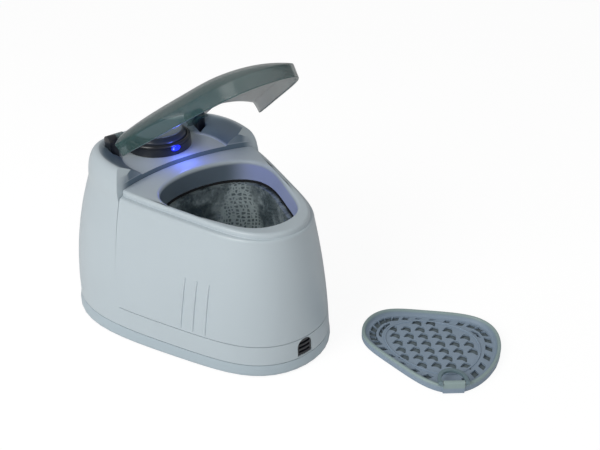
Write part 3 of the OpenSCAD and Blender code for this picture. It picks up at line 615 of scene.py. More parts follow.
def wound_wire(name, colour):
    paint = Finish(name, metallic=0.7, coat_weight=0.6, coat_roughness=0.1)
    wave = paint.node("ShaderNodeTexWave", {"wave_type": "BANDS", "bands_direction": "Z"},
                      vector=paint.place, scale=420.0)
    turn = Value(paint, wave.outputs["Fac"])
    paint.colour(paint.blend(turn, darker(colour, 0.45), darker(colour, 1.1)))
    paint.rough(0.3 + turn * 0.1)
    paint.bump(turn, 0.4, 0.0003)
    return paint.material


def speckled_basket(name, colour, rim):
    """Satin basket moulding: greener, paler and smoother on its rounded rim than on its floor."""
    paint = Finish(name, coat_weight=0.08, coat_roughness=0.35)
    x, y, z = paint.axes()
    cloud = paint.noise(44, 4, 0.6)
    speck = paint.noise(1700, 3, 0.65)
    high = z.between(0.0030, 0.0052)
    floor_tone = paint.blend(cloud * 0.7 + speck * 0.3, darker(colour, 0.88), darker(colour, 1.12))
    paint.colour(paint.blend(high, floor_tone, rim))
    paint.rough(0.46 + speck * 0.1 - high * 0.08)
    paint.bump(speck * 0.6 + cloud * 0.4, 0.14, 0.0002)
    return paint.material


MATERIALS = {}


def finish_named(name):
    """Material of that name, made the first time that it is asked for."""
    if name not in MATERIALS:
        colours = bpy.context.scene.lens_cleaner_colours
        clear = bpy.context.scene.lens_cleaner_lid
        recipes = {
            "housing": lambda: moulded_plastic("housing_plastic", tuple(colours.housing)),
            # front moulding with painted shade and painted lamp light inside the opening
            "front": lambda: moulded_plastic("front_plastic_painted_light", tuple(colours.housing), shade=mouth_shade),
            # rear moulding with painted shade on the cheeks' inner sides and on the step
            "rear": lambda: moulded_plastic("rear_plastic_painted_shade", tuple(colours.housing), shade=cheek_shade),
            "base": lambda: moulded_plastic("base_plastic", tuple(colours.base)),
            "dark": lambda: dark_plastic("black_plastic", tuple(colours.dark)),
            "lid_clear": lambda: smoked_clear("smoked_lid", tuple(colours.smoke), clear.density,
                                              LEDGE_H + 0.6),
            "button": lambda: dark_plastic("navy_plastic", tuple(colours.button), 0.34),
            "inlay": lambda: knurled_inlay("pebbled_inlay", tuple(colours.inlay)),
            "lamp_lens": lambda: glowing_lens("blue_lens", tuple(colours.lamp), colours.lamp_strength),
            "lamp": lambda: glowing_lens("blue_lamp", tuple(colours.lamp), 1.0),
            "steel": lambda: drawn_steel("drawn_steel", srgb(190, 193, 196)),
            # tank with painted ripple light over its sound disc
            "tank": lambda: wet_tank("tank_painted_ripple_light", srgb(66, 80, 86), srgb(190, 204, 206)),
            "screw_steel": lambda: bare_metal("plated_steel", srgb(205, 207, 209), 0.2),
            "rubber": lambda: soft_rubber("black_rubber", srgb(30, 31, 33)),
            "ceramic": lambda: bare_metal("silvered_ceramic", srgb(214, 208, 192), 0.4, (1, 1, 1)),
            "wire_red": lambda: soft_rubber("red_sleeve", srgb(170, 38, 30)),
            "wire_black": lambda: soft_rubber("black_sleeve", srgb(34, 34, 36)),
            "board": lambda: circuit_board("green_board", srgb(22, 92, 52), srgb(120, 150, 70)),
            "component": lambda: dark_plastic("component_case", srgb(34, 34, 38), 0.5),
            "cap_sleeve": lambda: dark_plastic("capacitor_sleeve", srgb(36, 52, 110), 0.35),
            "coil": lambda: wound_wire("copper_winding", srgb(196, 120, 62)),
            "sink": lambda: bare_metal("extruded_aluminium", srgb(206, 208, 210), 0.35),
            "fuse_glass": lambda: smoked_clear("fuse_tube", srgb(220, 226, 226), 0.35),
            "basket_plastic": lambda: speckled_basket("basket_plastic", tuple(colours.basket),
                                                      tuple(colours.basket_rim)),
            "bail_plastic": lambda: moulded_plastic("bail_plastic", tuple(colours.bail), 0.45, 0.16),
        }
        MATERIALS[name] = recipes[name]()
    return MATERIALS[name]


# What a user may change


def tint(name, about, *display):
    return bpy.props.FloatVectorProperty(name=name, description=about, subtype="COLOR",
                                         default=srgb(*display))


def distance(name, about, default, low, high):
    """Length setting, given here in millimetres."""
    return bpy.props.FloatProperty(name=name, description=about, default=default * MM, min=low * MM,
                                   max=high * MM, subtype="DISTANCE", precision=5)


def amount(name, about, default, **limits):
    return bpy.props.FloatProperty(name=name, description=about, default=default, min=0, **limits)


class LensCleanerColours(bpy.types.PropertyGroup):
    housing: tint("Housing", "Colour of the upper mouldings", 190, 202, 209)
    base: tint("Base", "Colour of the base pan", 178, 193, 202)
    dark: tint("Trim", "Colour of the hinge lugs, pod and grille", 25, 29, 36)
    button: tint("Button", "Colour of the push button's rim", 38, 48, 62)
    inlay: tint("Button inlay", "Colour of the pebbled disc", 118, 134, 150)
    smoke: tint("Lid", "Tint of the smoked lid", 62, 96, 96)
    lamp: tint("Lamp", "Colour of the indicator lamp", 16, 42, 250)
    lamp_strength: amount("Lamp strength", "How brightly the lamp's lens glows", 1.1)
    basket: tint("Basket", "Colour of the basket's floor", 142, 160, 178)
    basket_rim: tint("Basket rim", "Colour of the basket's rim", 150, 170, 170)
    bail: tint("Bail", "Colour of the basket's folding bail", 112, 134, 142)


class LensCleanerHousing(bpy.types.PropertyGroup):
    seam: distance("Seam", "Width of the dark line between the mouldings", 0.5, 0.1, 1.5)
    rim_round: distance("Rim rounding", "Radius of the deck rim's edges", 2, 0.5, 3)
    rib_height: distance("Rib height", "How proud the side ribs stand", 0.45, 0.1, 0.5)


class LensCleanerLid(bpy.types.PropertyGroup):
    density: amount("Density", "How much the smoked lid hides, seen square on", 0.34, max=1, subtype="FACTOR")
    thickness: distance("Thickness", "Wall of the lid", 1.8, 1, 1.8)


class LensCleanerBasket(bpy.types.PropertyGroup):
    hole_pitch: distance("Hole pitch", "Distance between the drain holes of a row", 9, 8, 12)
    row_pitch: distance("Row pitch", "Distance between the rows of drain holes", 7.3, 6, 12)


class LensCleanerStage(bpy.types.PropertyGroup):
    key_power: amount("Key lamp", "Power of the large lamp on the left", 5.2, unit="POWER")
    fill_power: amount("Fill lamp", "Power of the lamp over the front", 0.8, unit="POWER")
    sky: amount("Sky", "Strength of the even light from all round", 0.40)
    glow_power: amount("Lamp glow", "Power of the blue light that the lamp throws on the deck", 0.009,
                       unit="POWER", precision=4)


# The pieces


class OBJECT_OT_lens_cleaner_front(bpy.types.Operator):
    """Model the front shell with its rounded deck rim, opening and collar"""

    bl_idname = "object.lens_cleaner_front"
    bl_label = "Front shell"

    def execute(self, context):
        gap = context.scene.lens_cleaner_housing.seam / MM
        soft = context.scene.lens_cleaner_housing.rim_round / MM
        low = BAND_H + gap
        rings = [side_ring(z, -0.02) for z in steps(low, SIDE_H, 16)]
        for k in range(1, 7):
            s = radians(15 * k)
            rings.append([shoulder_point(a, -ledge_width(a) * 0.6 * (1 - cos(s)),
                                         SIDE_H + (LEDGE_H - SIDE_H) * sin(s))
                          for a in angles()])
        rings.append([shoulder_point(a, 0.25 - ledge_width(a), LEDGE_H) for a in angles()])
        rings.append([shoulder_point(a, -ledge_width(a), LEDGE_H + 0.3) for a in angles()])
        for k in range(0, 7):
            s = radians(15 * k)
            rings.append([shoulder_point(a, -ledge_width(a) - soft * (1 - cos(s)),
                                         DECK_H - soft * (1 - sin(s)))
                          for a in angles()])
        rim = [shoulder_point(a, -ledge_width(a) - soft - 0.2, DECK_H) for a in angles()]
        mouth = OPENING_LINE.ring(soft, DECK_H, RING)
        for share in (0, 0.34, 0.67):
            rings.append([tuple(p + (q - p) * share for p, q in zip(a, b)) for a, b in zip(rim, mouth)])
        for k in range(0, 7):
            s = radians(15 * k)
            rings.append(OPENING_LINE.ring(soft * (1 - sin(s)) - 0.02, DECK_H - soft * (1 - cos(s)), RING))
        rings += [OPENING_LINE.ring(-0.02, z, RING) for z in (86, COLLAR_H + 0.5)]
        rings.append(OPENING_LINE.ring(0.3, COLLAR_H + 0.05, RING))
        rings.append(OPENING_LINE.ring(COLLAR_WALL, COLLAR_H + 0.05, RING))
        rings.append(OPENING_LINE.ring(COLLAR_WALL, DECK_H - WALL, RING))
        rings.append([shoulder_point(a, -ledge_width(a) - WALL, DECK_H - WALL) for a in angles()])
        rings += [side_ring(z, -WALL) for z in reversed(steps(low, SIDE_H, 8))]
        shell = loft("front", rings, joined=True)
        behind = side_slab("behind", [(seam_y(0) - gap, -5), (160, -5), (160, SIDE_H),
                                      (seam_y(SIDE_H) - gap, SIDE_H)])
        arc = circle(RISER_R, 0, RISER_Y, 240, 0, 180)
        deck_back = prism("deck_back", arc + [(-200, RISER_Y), (-200, 220), (200, 220), (200, RISER_Y)],
                          SIDE_H - 0.01, 130)
        cut(shell, behind, deck_back)
        finish_piece(shell, "front_shell_skin", "housing", finish_named("front"), ["front_shell"])
        return {"FINISHED"}


def crest_share(angle):
    return ease(abs(180 - angle) / 50)


def crest_height(angle):
    return REAR_DECK_H + REAR_RISE + (CHEEK_H - REAR_DECK_H - REAR_RISE) * crest_share(angle)


def rear_rings(out, low, fine):
    """Rings of the rear housing from its foot over the crest and down to the rear deck."""
    rings = [side_ring(z, out) for z in steps(low, SIDE_H, 2 * fine)]
    for k in range(1, fine + 1):
        s = pi / 2 * k / fine
        rings.append([shoulder_point(a, out - CREST_ROLL * (1 - cos(s)),
                                     SIDE_H + (crest_height(a) + out - SIDE_H) * sin(s))
                      for a in angles()])
    for k in range(1, fine + 1):
        s = pi / 2 * k / fine
        rings.append([inner_roll(a, out, sin(s), max(0, cos(s))) for a in angles()])
    return rings


def inner_roll(angle, out, along, up):
    """Point on the hood's inner side, which is nearly flat on the cheeks and round at the rear."""
    share = crest_share(angle)
    power = 2 / (2 - 0.7 * share)
    width = 12 + 11 * share + 2 * out - CREST_ROLL
    return shoulder_point(angle, out - CREST_ROLL - width * along ** power,
                          REAR_DECK_H + out + (crest_height(angle) - REAR_DECK_H) * up ** power)


def cheek_front(back):
    """Outline in Y and Z of what lies before the rounded cheek fronts, moved back by a wall."""
    curve = [(SEAM_TOP_Y + back + CHEEK_ROUND * (1 - cos(radians(9 * k))),
              DECK_H - back + (CHEEK_H + 1 - DECK_H) * sin(radians(9 * k))) for k in range(11)]
    return curve + [(60, 140), (-140, 140), (-140, DECK_H - back)]


class OBJECT_OT_lens_cleaner_rear(bpy.types.Operator):
    """Model the rear housing with its hood, cheeks, rear deck and skirt band"""

    bl_idname = "object.lens_cleaner_rear"
    bl_label = "Rear housing"

    def execute(self, context):
        gap = context.scene.lens_cleaner_housing.seam / MM
        shell = loft("rear", rear_rings(-0.02, SEAM_H + 0.35, 10))
        hollow = loft("hollow", rear_rings(-WALL, SEAM_H - 3, 5))
        riser_wall = prism("riser_wall", circle(RISER_R + 0.2 + WALL, 0, RISER_Y, 180), SIDE_H - 4, 130)
        cut(hollow, riser_wall, side_slab("cheek_wall", cheek_front(WALL)))
        cut(shell, hollow)
        front = [(seam_y(BAND_H), BAND_H), (seam_y(SIDE_H), SIDE_H), (seam_y(DECK_H), DECK_H),
                 (-160, DECK_H), (-160, BAND_H)]
        cut(shell, side_slab("before", front), side_slab("cheek", cheek_front(0)))
        cut(shell, prism("riser", circle(RISER_R + 0.2, 0, RISER_Y, 240), SIDE_H, 140))
        tools = [block("socket", (-11.5, 80, 22.5), (11.5, 110, 37.5)),
                 block("shelf", (-14.5, 96.2, 19.5), (14.5, 110, 40.5))]
        for side in (-1, 1):
            low, high = sorted((side * 31.1, side * 37.1))
            tools.append(block("lug_pocket", (low, 50.9, 96), (high, 63.1, 130)))
        arch = circle(VENT_R, 0, VENT_H, 13, 0, 180)
        arch += [(-VENT_R, 10), (VENT_R, 10)]
        tools.append(loft("vent", [[(x, y, z) for x, z in arch] for y in (-110, -84)]))
        cut(shell, *tools)
        finish_piece(shell, "rear_housing_skin", "housing", finish_named("rear"), ["rear_housing"])
        return {"FINISHED"}


class OBJECT_OT_lens_cleaner_ribs(bpy.types.Operator):
    """Model the raised grip ribs low on both sides"""

    bl_idname = "object.lens_cleaner_ribs"
    bl_label = "Side ribs"

    def execute(self, context):
        proud = context.scene.lens_cleaner_housing.rib_height / MM
        bars = []
        for side in (-1, 1):
            for k in (-1, 0, 1):
                y = RIB_MIDDLE + RIB_PITCH * k
                rings = []
                for z in steps(RIB_LOW, RIB_HIGH, 24):
                    share = (z - SEAM_H) / (SIDE_H - SEAM_H)
                    nose, rear = BASE_LINE.mixed(SHOULDER_LINE, share).numbers[:2]
                    angle = degrees(acos(max(-1, min(1, (rear - nose - 2 * y) / (rear + nose)))))
                    x, py, pz = side_point(angle, z, 0)
                    rise = proud * ease((z - RIB_LOW) / 3) * ease((RIB_HIGH - z) / 6)
                    ring = []
                    for step in range(12):
                        turn = 2 * pi * step / 12
                        out = rise * cos(turn) if cos(turn) > 0 else 1.2 * cos(turn)
                        ring.append((side * (x + out), py + sin(turn), pz))
                    rings.append(ring)
                bars.append(loft("rib", rings))
        ribs = join(bars)
        finish_piece(ribs, "side_ribs", "housing", finish_named("housing"), angle=60)
        return {"FINISHED"}


class OBJECT_OT_lens_cleaner_tank(bpy.types.Operator):
    """Model the drawn tank under the deck opening"""

    bl_idname = "object.lens_cleaner_tank"
    bl_label = "Tank"

    def execute(self, context):
        inset, floor_h, wall, flange = 3.4, 36, 0.8, 77.2
        rings = [OPENING_LINE.ring(-inset - 20, floor_h + 0.02, RING),
                 OPENING_LINE.ring(-inset - 9, floor_h + 0.02, RING)]
        for k in range(1, 7):
            s = radians(15 * k)
            rings.append(OPENING_LINE.ring(-inset - 9 + 6.4 * sin(s), floor_h + 6 * (1 - cos(s)) + 0.02,
                                           RING))
        for z in steps(floor_h + 6, flange + wall, 8)[1:]:
            share = (z - floor_h - 6) / (flange + wall - floor_h - 6)
            rings.append(OPENING_LINE.ring(-inset - 2.6 * (1 - share), z, RING))
        rings.append(OPENING_LINE.ring(1.7, flange + wall, RING))
        rings.append(OPENING_LINE.ring(1.7, flange, RING))
        rings.append(OPENING_LINE.ring(-inset + wall, flange, RING))
        rings.append(OPENING_LINE.ring(-inset - 2.2 + wall, floor_h + 6, RING))
        rings.append(OPENING_LINE.ring(-inset - 4 + wall, floor_h + 1, RING))
        rings.append(OPENING_LINE.ring(-inset - 9 + wall, floor_h - wall, RING))
        rings.append(OPENING_LINE.ring(-inset - 20, floor_h - wall, RING))
        tank = loft("tank", rings)
        finish_piece(tank, "tank_drawn", "housing", finish_named("tank"), ["tank"])
        section = [(1.68, 78.02), (1.68, 79.48), (-0.25, 79.48), (-0.45, 78.75), (-0.25, 78.02)]
        gasket = loft("gasket", [OPENING_LINE.ring(out, z, RING) for out, z in section], joined=True)
        finish_piece(gasket, "tank_gasket_skin", "housing", finish_named("rubber"),
                     ["tank_gasket"], 40)
        return {"FINISHED"}


class OBJECT_OT_lens_cleaner_lid(bpy.types.Operator):
    """Model the smoked lid with its side arches, pod cut-out and hinge ears"""

    bl_idname = "object.lens_cleaner_lid"
    bl_label = "Lid"

    def ring(self, share, out, height):
        top = DECK_H + LID_CROWN - 1.8 + out
        skirt_top = DECK_H + LID_SKIRT
        z = skirt_top + (top - skirt_top) * (1 - share ** LID_FLATNESS) if height is None else height
        points = []
        for a in angles():
            x, y = SHOULDER_LINE.offset(a, LID_GAP - ledge_width(a) + out)
            points.append((x * share, LID_CENTRE + (y - LID_CENTRE) * share, z))
        return points

    def execute(self, context):
        wall = context.scene.lens_cleaner_lid.thickness / MM
        low = LEDGE_H + 0.4
        spread = [sin(radians(3 + 3 * k)) for k in range(30)]
        rings = [self.ring(s, wall - 0.02, None) for s in spread]
        rings += [self.ring(1, wall - 0.02, z) for z in (96, 93, low + 0.4)]
        rings.append(self.ring(1, wall - 0.3, low))
        rings.append(self.ring(1, 0.3, low))
        rings += [self.ring(1, 0, z) for z in (low + 0.4, 93, 96)]
        rings += [self.ring(s, 0, None) for s in reversed(spread)]
        lid = loft("lid", rings)
        tools = []
        for side in (-1, 1):
            arch = [(ARCH_Y - ARCH_R * cos(radians(6 * k)), low - 2 + ARCH_R * sin(radians(6 * k)))
                    for k in range(16)]
            arch += [(110, low + 15), (110, 60), (11, 60)]
            x0, x1 = sorted((side * ARM_OUT, side * 110))
            tools.append(loft("arch", [[(x, y, z) for y, z in arch] for x in (x0, x1)]))
            tools.append(prism("notch", circle(NOTCH_R, side * (ARM_OUT + NOTCH_R), NOTCH_Y, 120), 60, 150))
            tools.append(block("corner", (x0, NOTCH_Y, 60), (x1, 120, 150)))
        tools.append(prism("pod_gap", circle(POD_GAP, 0, POD_Y, 120), 60, 150))
        tools.append(block("pod_way", (-POD_GAP, POD_Y, 60), (POD_GAP, 130, 150)))
        tools.append(block("rear", (-90, 60, 60), (90, 130, 150)))
        tools.append(block("rear_low", (-90, 19, 60), (90, 130, REAR_DECK_H + 6)))
        cut(lid, *tools)
        for side in (-1, 1):
            start = EAR_IN if side > 0 else -EAR_IN - EAR_WIDE
            ear = rod("ear", EAR_R, (start, HINGE_Y, HINGE_H), EAR_WIDE, 64)
            tail_h = DECK_H + LID_CROWN - 7.8
            tail = [(HINGE_Y, HINGE_H + EAR_R), (EAR_FRONT, tail_h + 1.2), (EAR_FRONT, tail_h),
                    (HINGE_Y, HINGE_H - EAR_R)]
            strap = loft("strap", [[(x, y, z) for y, z in tail] for x in (start, start + EAR_WIDE)])
            combine(ear, strap, "UNION")
            combine(lid, ear, "UNION")
            cut(lid, rod("bore", BORE_R, (start - 1, HINGE_Y, HINGE_H), 8, 48))
        turn_about_x(lid, (HINGE_Y, HINGE_H), radians(-LID_OPEN))
        finish_piece(lid, "smoked_lid", "lid", finish_named("lid_clear"), ["lid"], 28)
        return {"FINISHED"}


def oval_bar(name, half_wide, half_high, stops):
    """Oval solid along Y about the lamp's axis, from (place, scale) pairs."""
    rings = []
    for y, scale in stops:
        rings.append([(half_wide * scale * cos(radians(7.5 * i)), y,
                       LAMP_H + half_high * scale * sin(radians(7.5 * i)))
                      for i in range(48)])
    return loft(name, rings)


class OBJECT_OT_lens_cleaner_button(bpy.types.Operator):
    """Model the button pod: fixed ring, moving button and pebbled inlay"""

    bl_idname = "object.lens_cleaner_button"
    bl_label = "Button pod"

    def execute(self, context):
        z = REAR_DECK_H
        ring = turned("pod", [(16.5, z + 0.02), (21.6, z + 0.02), (21.95, z + 0.4), (21.7, z + 5.5), (21.3,
                    z + 5.75),
                              (21.3, z + 6.15), (21.6, z + 6.35), (21.4, z + 7.3), (20.9, z + 7.8), (20.2,
                    z + 7.95),
                              (19.7, z + 7.9), (19.45, z + 7.6), (19.42, z + 2.1), (5.1, z + 2.1), (5.1,
                    z + 0.02),
                              (16.5, z + 0.02)], 0, POD_Y, 120)
        merge_points(ring)
        cut(ring, oval_bar("window", 3.75, 2.2, [(30, 1), (36, 1)]))
        finish_piece(ring, "pod_ring_skin", "housing", finish_named("dark"), ["pod_ring"], 40)
        lens = oval_bar("lens", 3.65, 2.1, [(35.2, 1), (33.9, 1), (33.5, 0.97), (33.2, 0.85), (33.05, 0.6),
                                            (33.01, 0.3)])
        finish_piece(lens, "led_lens_skin", "housing", finish_named("lamp_lens"),
                     ["led_lens"], 40)
        cap = turned("cap", [(17.25, z + 5.52), (18.98, z + 5.52), (18.98, z + 8.6), (18.7, z + 9.2),
                             (17.2, z + 10.9),
                             (16.9, z + 11.15), (16.5, z + 11.18), (2, z + 11.18), (2, z + 9), (17.2,
                    z + 9)], 0, POD_Y, 120)
        finish_piece(cap, "button_cap_skin", "button", finish_named("button"), ["button_cap"], 40)
        disc = turned("disc", [(0.4, z + 11.22), (16.1, z + 11.22), (16.35, z + 11.4), (16.1, z + 11.75),
                               (15.2, z + 11.9),
                               (13.6, z + 11.96), (10, z + 11.98), (0.4, z + 11.99)], 0, POD_Y, 120)
        finish_piece(disc, "button_inlay_skin", "button", finish_named("inlay"), ["button_inlay"],
                     40)
        return {"FINISHED"}


BASKET_TURN, BASKET_X, BASKET_Y = 201, 72.8, -133.3
BASKET_LENGTH = 76.5 + 13.5 - 1.6
BASKET_LINE = Outline(BASKET_LENGTH / 2, BASKET_LENGTH / 2, 39.1, 0.26, 0.124, 0.044)
HOLE_LINE, ROW_LINE = radians(116), radians(37.6)
INNER_RING = Outline(BASKET_LENGTH * 0.33, BASKET_LENGTH * 0.37, 26.4, 0.16, 0.05, 0)


def well_inside(line, x, y, margin):
    """True if the point lies within the outline by the margin."""
    points = [line.point(a) for a in angles(90)]
    inside = False
    for (x0, y0), (x1, y1) in zip(points, points[1:] + points[:1]):
        if (y0 > y) != (y1 > y) and x < (x1 - x0) * (y - y0) / (y1 - y0) + x0:
            inside = not inside
    return inside and min(hypot(x - px, y - py) for px, py in points) > margin


def set_down(obj):
    """Lay a piece drawn on the basket's own axes beside the body."""
    move = Matrix.Translation((BASKET_X * MM, BASKET_Y * MM, 0)) @ Matrix.Rotation(radians(BASKET_TURN), 4,
                    "Z")
    obj.data.transform(move)
    return obj


def crescent(x, y, turn, length, width):
    """Outline of one crescent drain hole."""
    points = []
    for k in range(9):
        t = -1 + 2 * k / 8
        points.append((length / 2 * t, width * (1 - t ** 4) - width * 0.3))
    for k in range(1, 8):
        t = 1 - 2 * k / 8
        points.append((length / 2 * t, width * 0.3 * (1 - t * t) - width * 0.5))
    c, s = cos(radians(turn)), sin(radians(turn))
    return [(x + c * px - s * py, y + s * px + c * py) for px, py in points]


def rim_room(angle):
    """Width of the floor between the basket's rim and its raised ring."""
    x, y = BASKET_LINE.offset(angle, -4.6)
    return min(hypot(x - px, y - py) for px, py in [INNER_RING.point(a) for a in angles(120)]) - 0.8


def slot_outline(x, y, turn, length, width, lean):
    c, s = cos(radians(turn)), sin(radians(turn))
    corners = [(-length / 2 - lean, -width / 2), (length / 2 - lean, -width / 2),
               (length / 2 + lean, width / 2), (-length / 2 + lean, width / 2)]
    return [(x + c * px - s * py, y + s * px + c * py) for px, py in corners]


class OBJECT_OT_lens_cleaner_basket(bpy.types.Operator):
    """Model the basket: rounded rim, raised ring, crescent drain holes and skewed slots"""

    bl_idname = "object.lens_cleaner_basket"
    bl_label = "Basket"

    def execute(self, context):
        sizes = context.scene.lens_cleaner_basket
        pitch, rows = sizes.hole_pitch / MM, sizes.row_pitch / MM
        top, floor = 5.4, 1.8
        outer = [(-3.4, 0.5), (-2.4, 0.5), (-2.0, 0), (-0.5, 0), (-0.15, 0.15), (-0.02, 0.6), (-0.02, 4.3),
                 (-0.2, 4.95),
                 (-0.6, 5.3), (-1.1, top)]
        inner = [(-1.6, 5.3), (-2.0, 4.95), (-2.3, 4.2), (-2.9, 2.6), (-3.4, 2.0), (-4.2, floor), (-8, floor)]
        edge = BASKET_LINE.ring(-8, floor, RING)
        steps_in = [1 - 0.12 * k for k in range(1, 9)]
        top_rings = [[(x * share, y * share, z) for x, y, z in edge] for share in steps_in]
        low_rings = [[(x, y, 0.5) for x, y, z in ring] for ring in reversed([edge] + top_rings)]
        tray = loft("tray", low_rings + [BASKET_LINE.ring(out, z, RING) for out,
                                         z in outer + inner] + top_rings)
        bead = [(0.1, floor - 0.4), (0, floor + 0.45), (-0.35, floor + 0.68), (-0.75, floor + 0.68),
                (-1.1, floor + 0.4),
                (-1.2, floor - 0.4)]
        combine(tray, loft("bead", [INNER_RING.ring(out, z, RING) for out, z in bead], joined=True), "UNION")
        spot_x, spot_y = BASKET_LINE.offset(BAIL_ANGLE, -1.1)
        edge_x, edge_y = BASKET_LINE.offset(BAIL_ANGLE, 0)
        turn = atan2(edge_y - spot_y, edge_x - spot_x)
        holes = []
        for row in range(-6, 7):
            for column in range(-6, 7):
                x = 0.5 + column * pitch * cos(HOLE_LINE) + row * rows * cos(ROW_LINE)
                y = -1.3 + column * pitch * sin(HOLE_LINE) + row * rows * sin(ROW_LINE)
                if hypot(x - spot_x, y - spot_y) > 13 and well_inside(INNER_RING, x, y, 2.3):
                    holes.append(crescent(x, y, 95, 6.8, 5.4))
        for k in range(30):
            angle = 12 * k + 6
            out, room = -4.6, rim_room(angle)
            while room > 2.6:
                deep = min(4.4, room - 1.2)
                x, y = BASKET_LINE.offset(angle, out - 0.5 - deep / 2)
                nx, ny = BASKET_LINE.offset(angle, out - 1.5 - deep / 2)
                wide = 4.6 * hypot(x, y) / 34
                if hypot(x - spot_x, y - spot_y) > 12:
                    holes.append(slot_outline(x, y, degrees(atan2(ny - y, nx - x)) + 90, wide, deep, 0.9))
                out, room = out - deep - 1.6, room - deep - 1.8
        for across in (-2.6, 2.6):
            x = spot_x - 5.6 * cos(turn) - across * sin(turn)
            y = spot_y - 5.6 * sin(turn) + across * cos(turn)
            holes.append(slot_outline(x, y, degrees(turn), 2.4, 2.8, 0))
        combine(tray, join([prism("hole", outline, -1, floor + 0.4) for outline in holes]), "DIFFERENCE")
        tab = block("tab", (-1.5, -6.4, 0.6), (1.5, 6.4, BAIL_AXIS_H))
        knuckle, bore = [loft("barrel", [[(x, y, z) for x, z in circle(radius, 0, BAIL_AXIS_H,
                    sides + 1)[:-1]]
                                         for y in (-half, half)])
                         for radius, half, sides in ((1.5, 6.4, 32), (0.85, 9, 24))]
        combine(tab, knuckle, "UNION")
        cut(tab, bore)
        tab.data.transform(Matrix.Translation((spot_x * MM, spot_y * MM, 0)) @ Matrix.Rotation(turn, 4, "Z"))
        combine(tray, tab, "UNION")
        finish_piece(set_down(tray), "basket_tray", "basket",
                     finish_named("basket_plastic"), ["basket"], 40)
        bail = soften_edges(node_copy("basket_bail"), 0.45)
        finish_piece(bail, "basket_bail_skin", "bail", finish_named("bail_plastic"),
                     ["basket_bail"], 40)
        return {"FINISHED"}


class OBJECT_OT_lens_cleaner_trim(bpy.types.Operator):
    """Finish the base pan, grille and inlet from their CAD shapes, and model the hinge lugs"""

    bl_idname = "object.lens_cleaner_trim"
    bl_label = "Base and trim"

    def execute(self, context):
        for node, slot, width in (("base_pan", "base", 0), ("vent_grille", "dark", 0.2),
                                  ("power_inlet", "dark", 0.3)):
            piece = node_copy(node)
            if width:
                soften_edges(piece, width)
            finish_piece(piece, node + "_skin", "housing", finish_named(slot), [node], 38)
        lugs = []
        for start in (31.25, -36.95):
            lug = rod("lug", 4.1, (start, HINGE_Y, HINGE_H), 5.7, 48)
            combine(lug, block("foot", (start, 53.4, 97.4), (start + 5.7, 60.6, HINGE_H - 0.5)), "UNION")
            lugs.append(soften_edges(lug, 0.7, 50))
        finish_piece(join(lugs), "hinge_lugs_skin", "housing", finish_named("dark"),
                     ["hinge_lugs"], 38)
        return {"FINISHED"}


class OBJECT_OT_lens_cleaner_paint(bpy.types.Operator):
    """Give each CAD node that still shows its own material"""

    bl_idname = "object.lens_cleaner_paint"
    bl_label = "Inner parts"

    def execute(self, context):
        slots = {part["node"]: part["material_slot"] for part in frame["record"]["subparts"]}
        for name, obj in frame["nodes"].items():
            if slots[name] in ("housing", "base"):
                continue
            obj.data.materials.clear()
            obj.data.materials.append(finish_named(slots[name]))
        return {"FINISHED"}


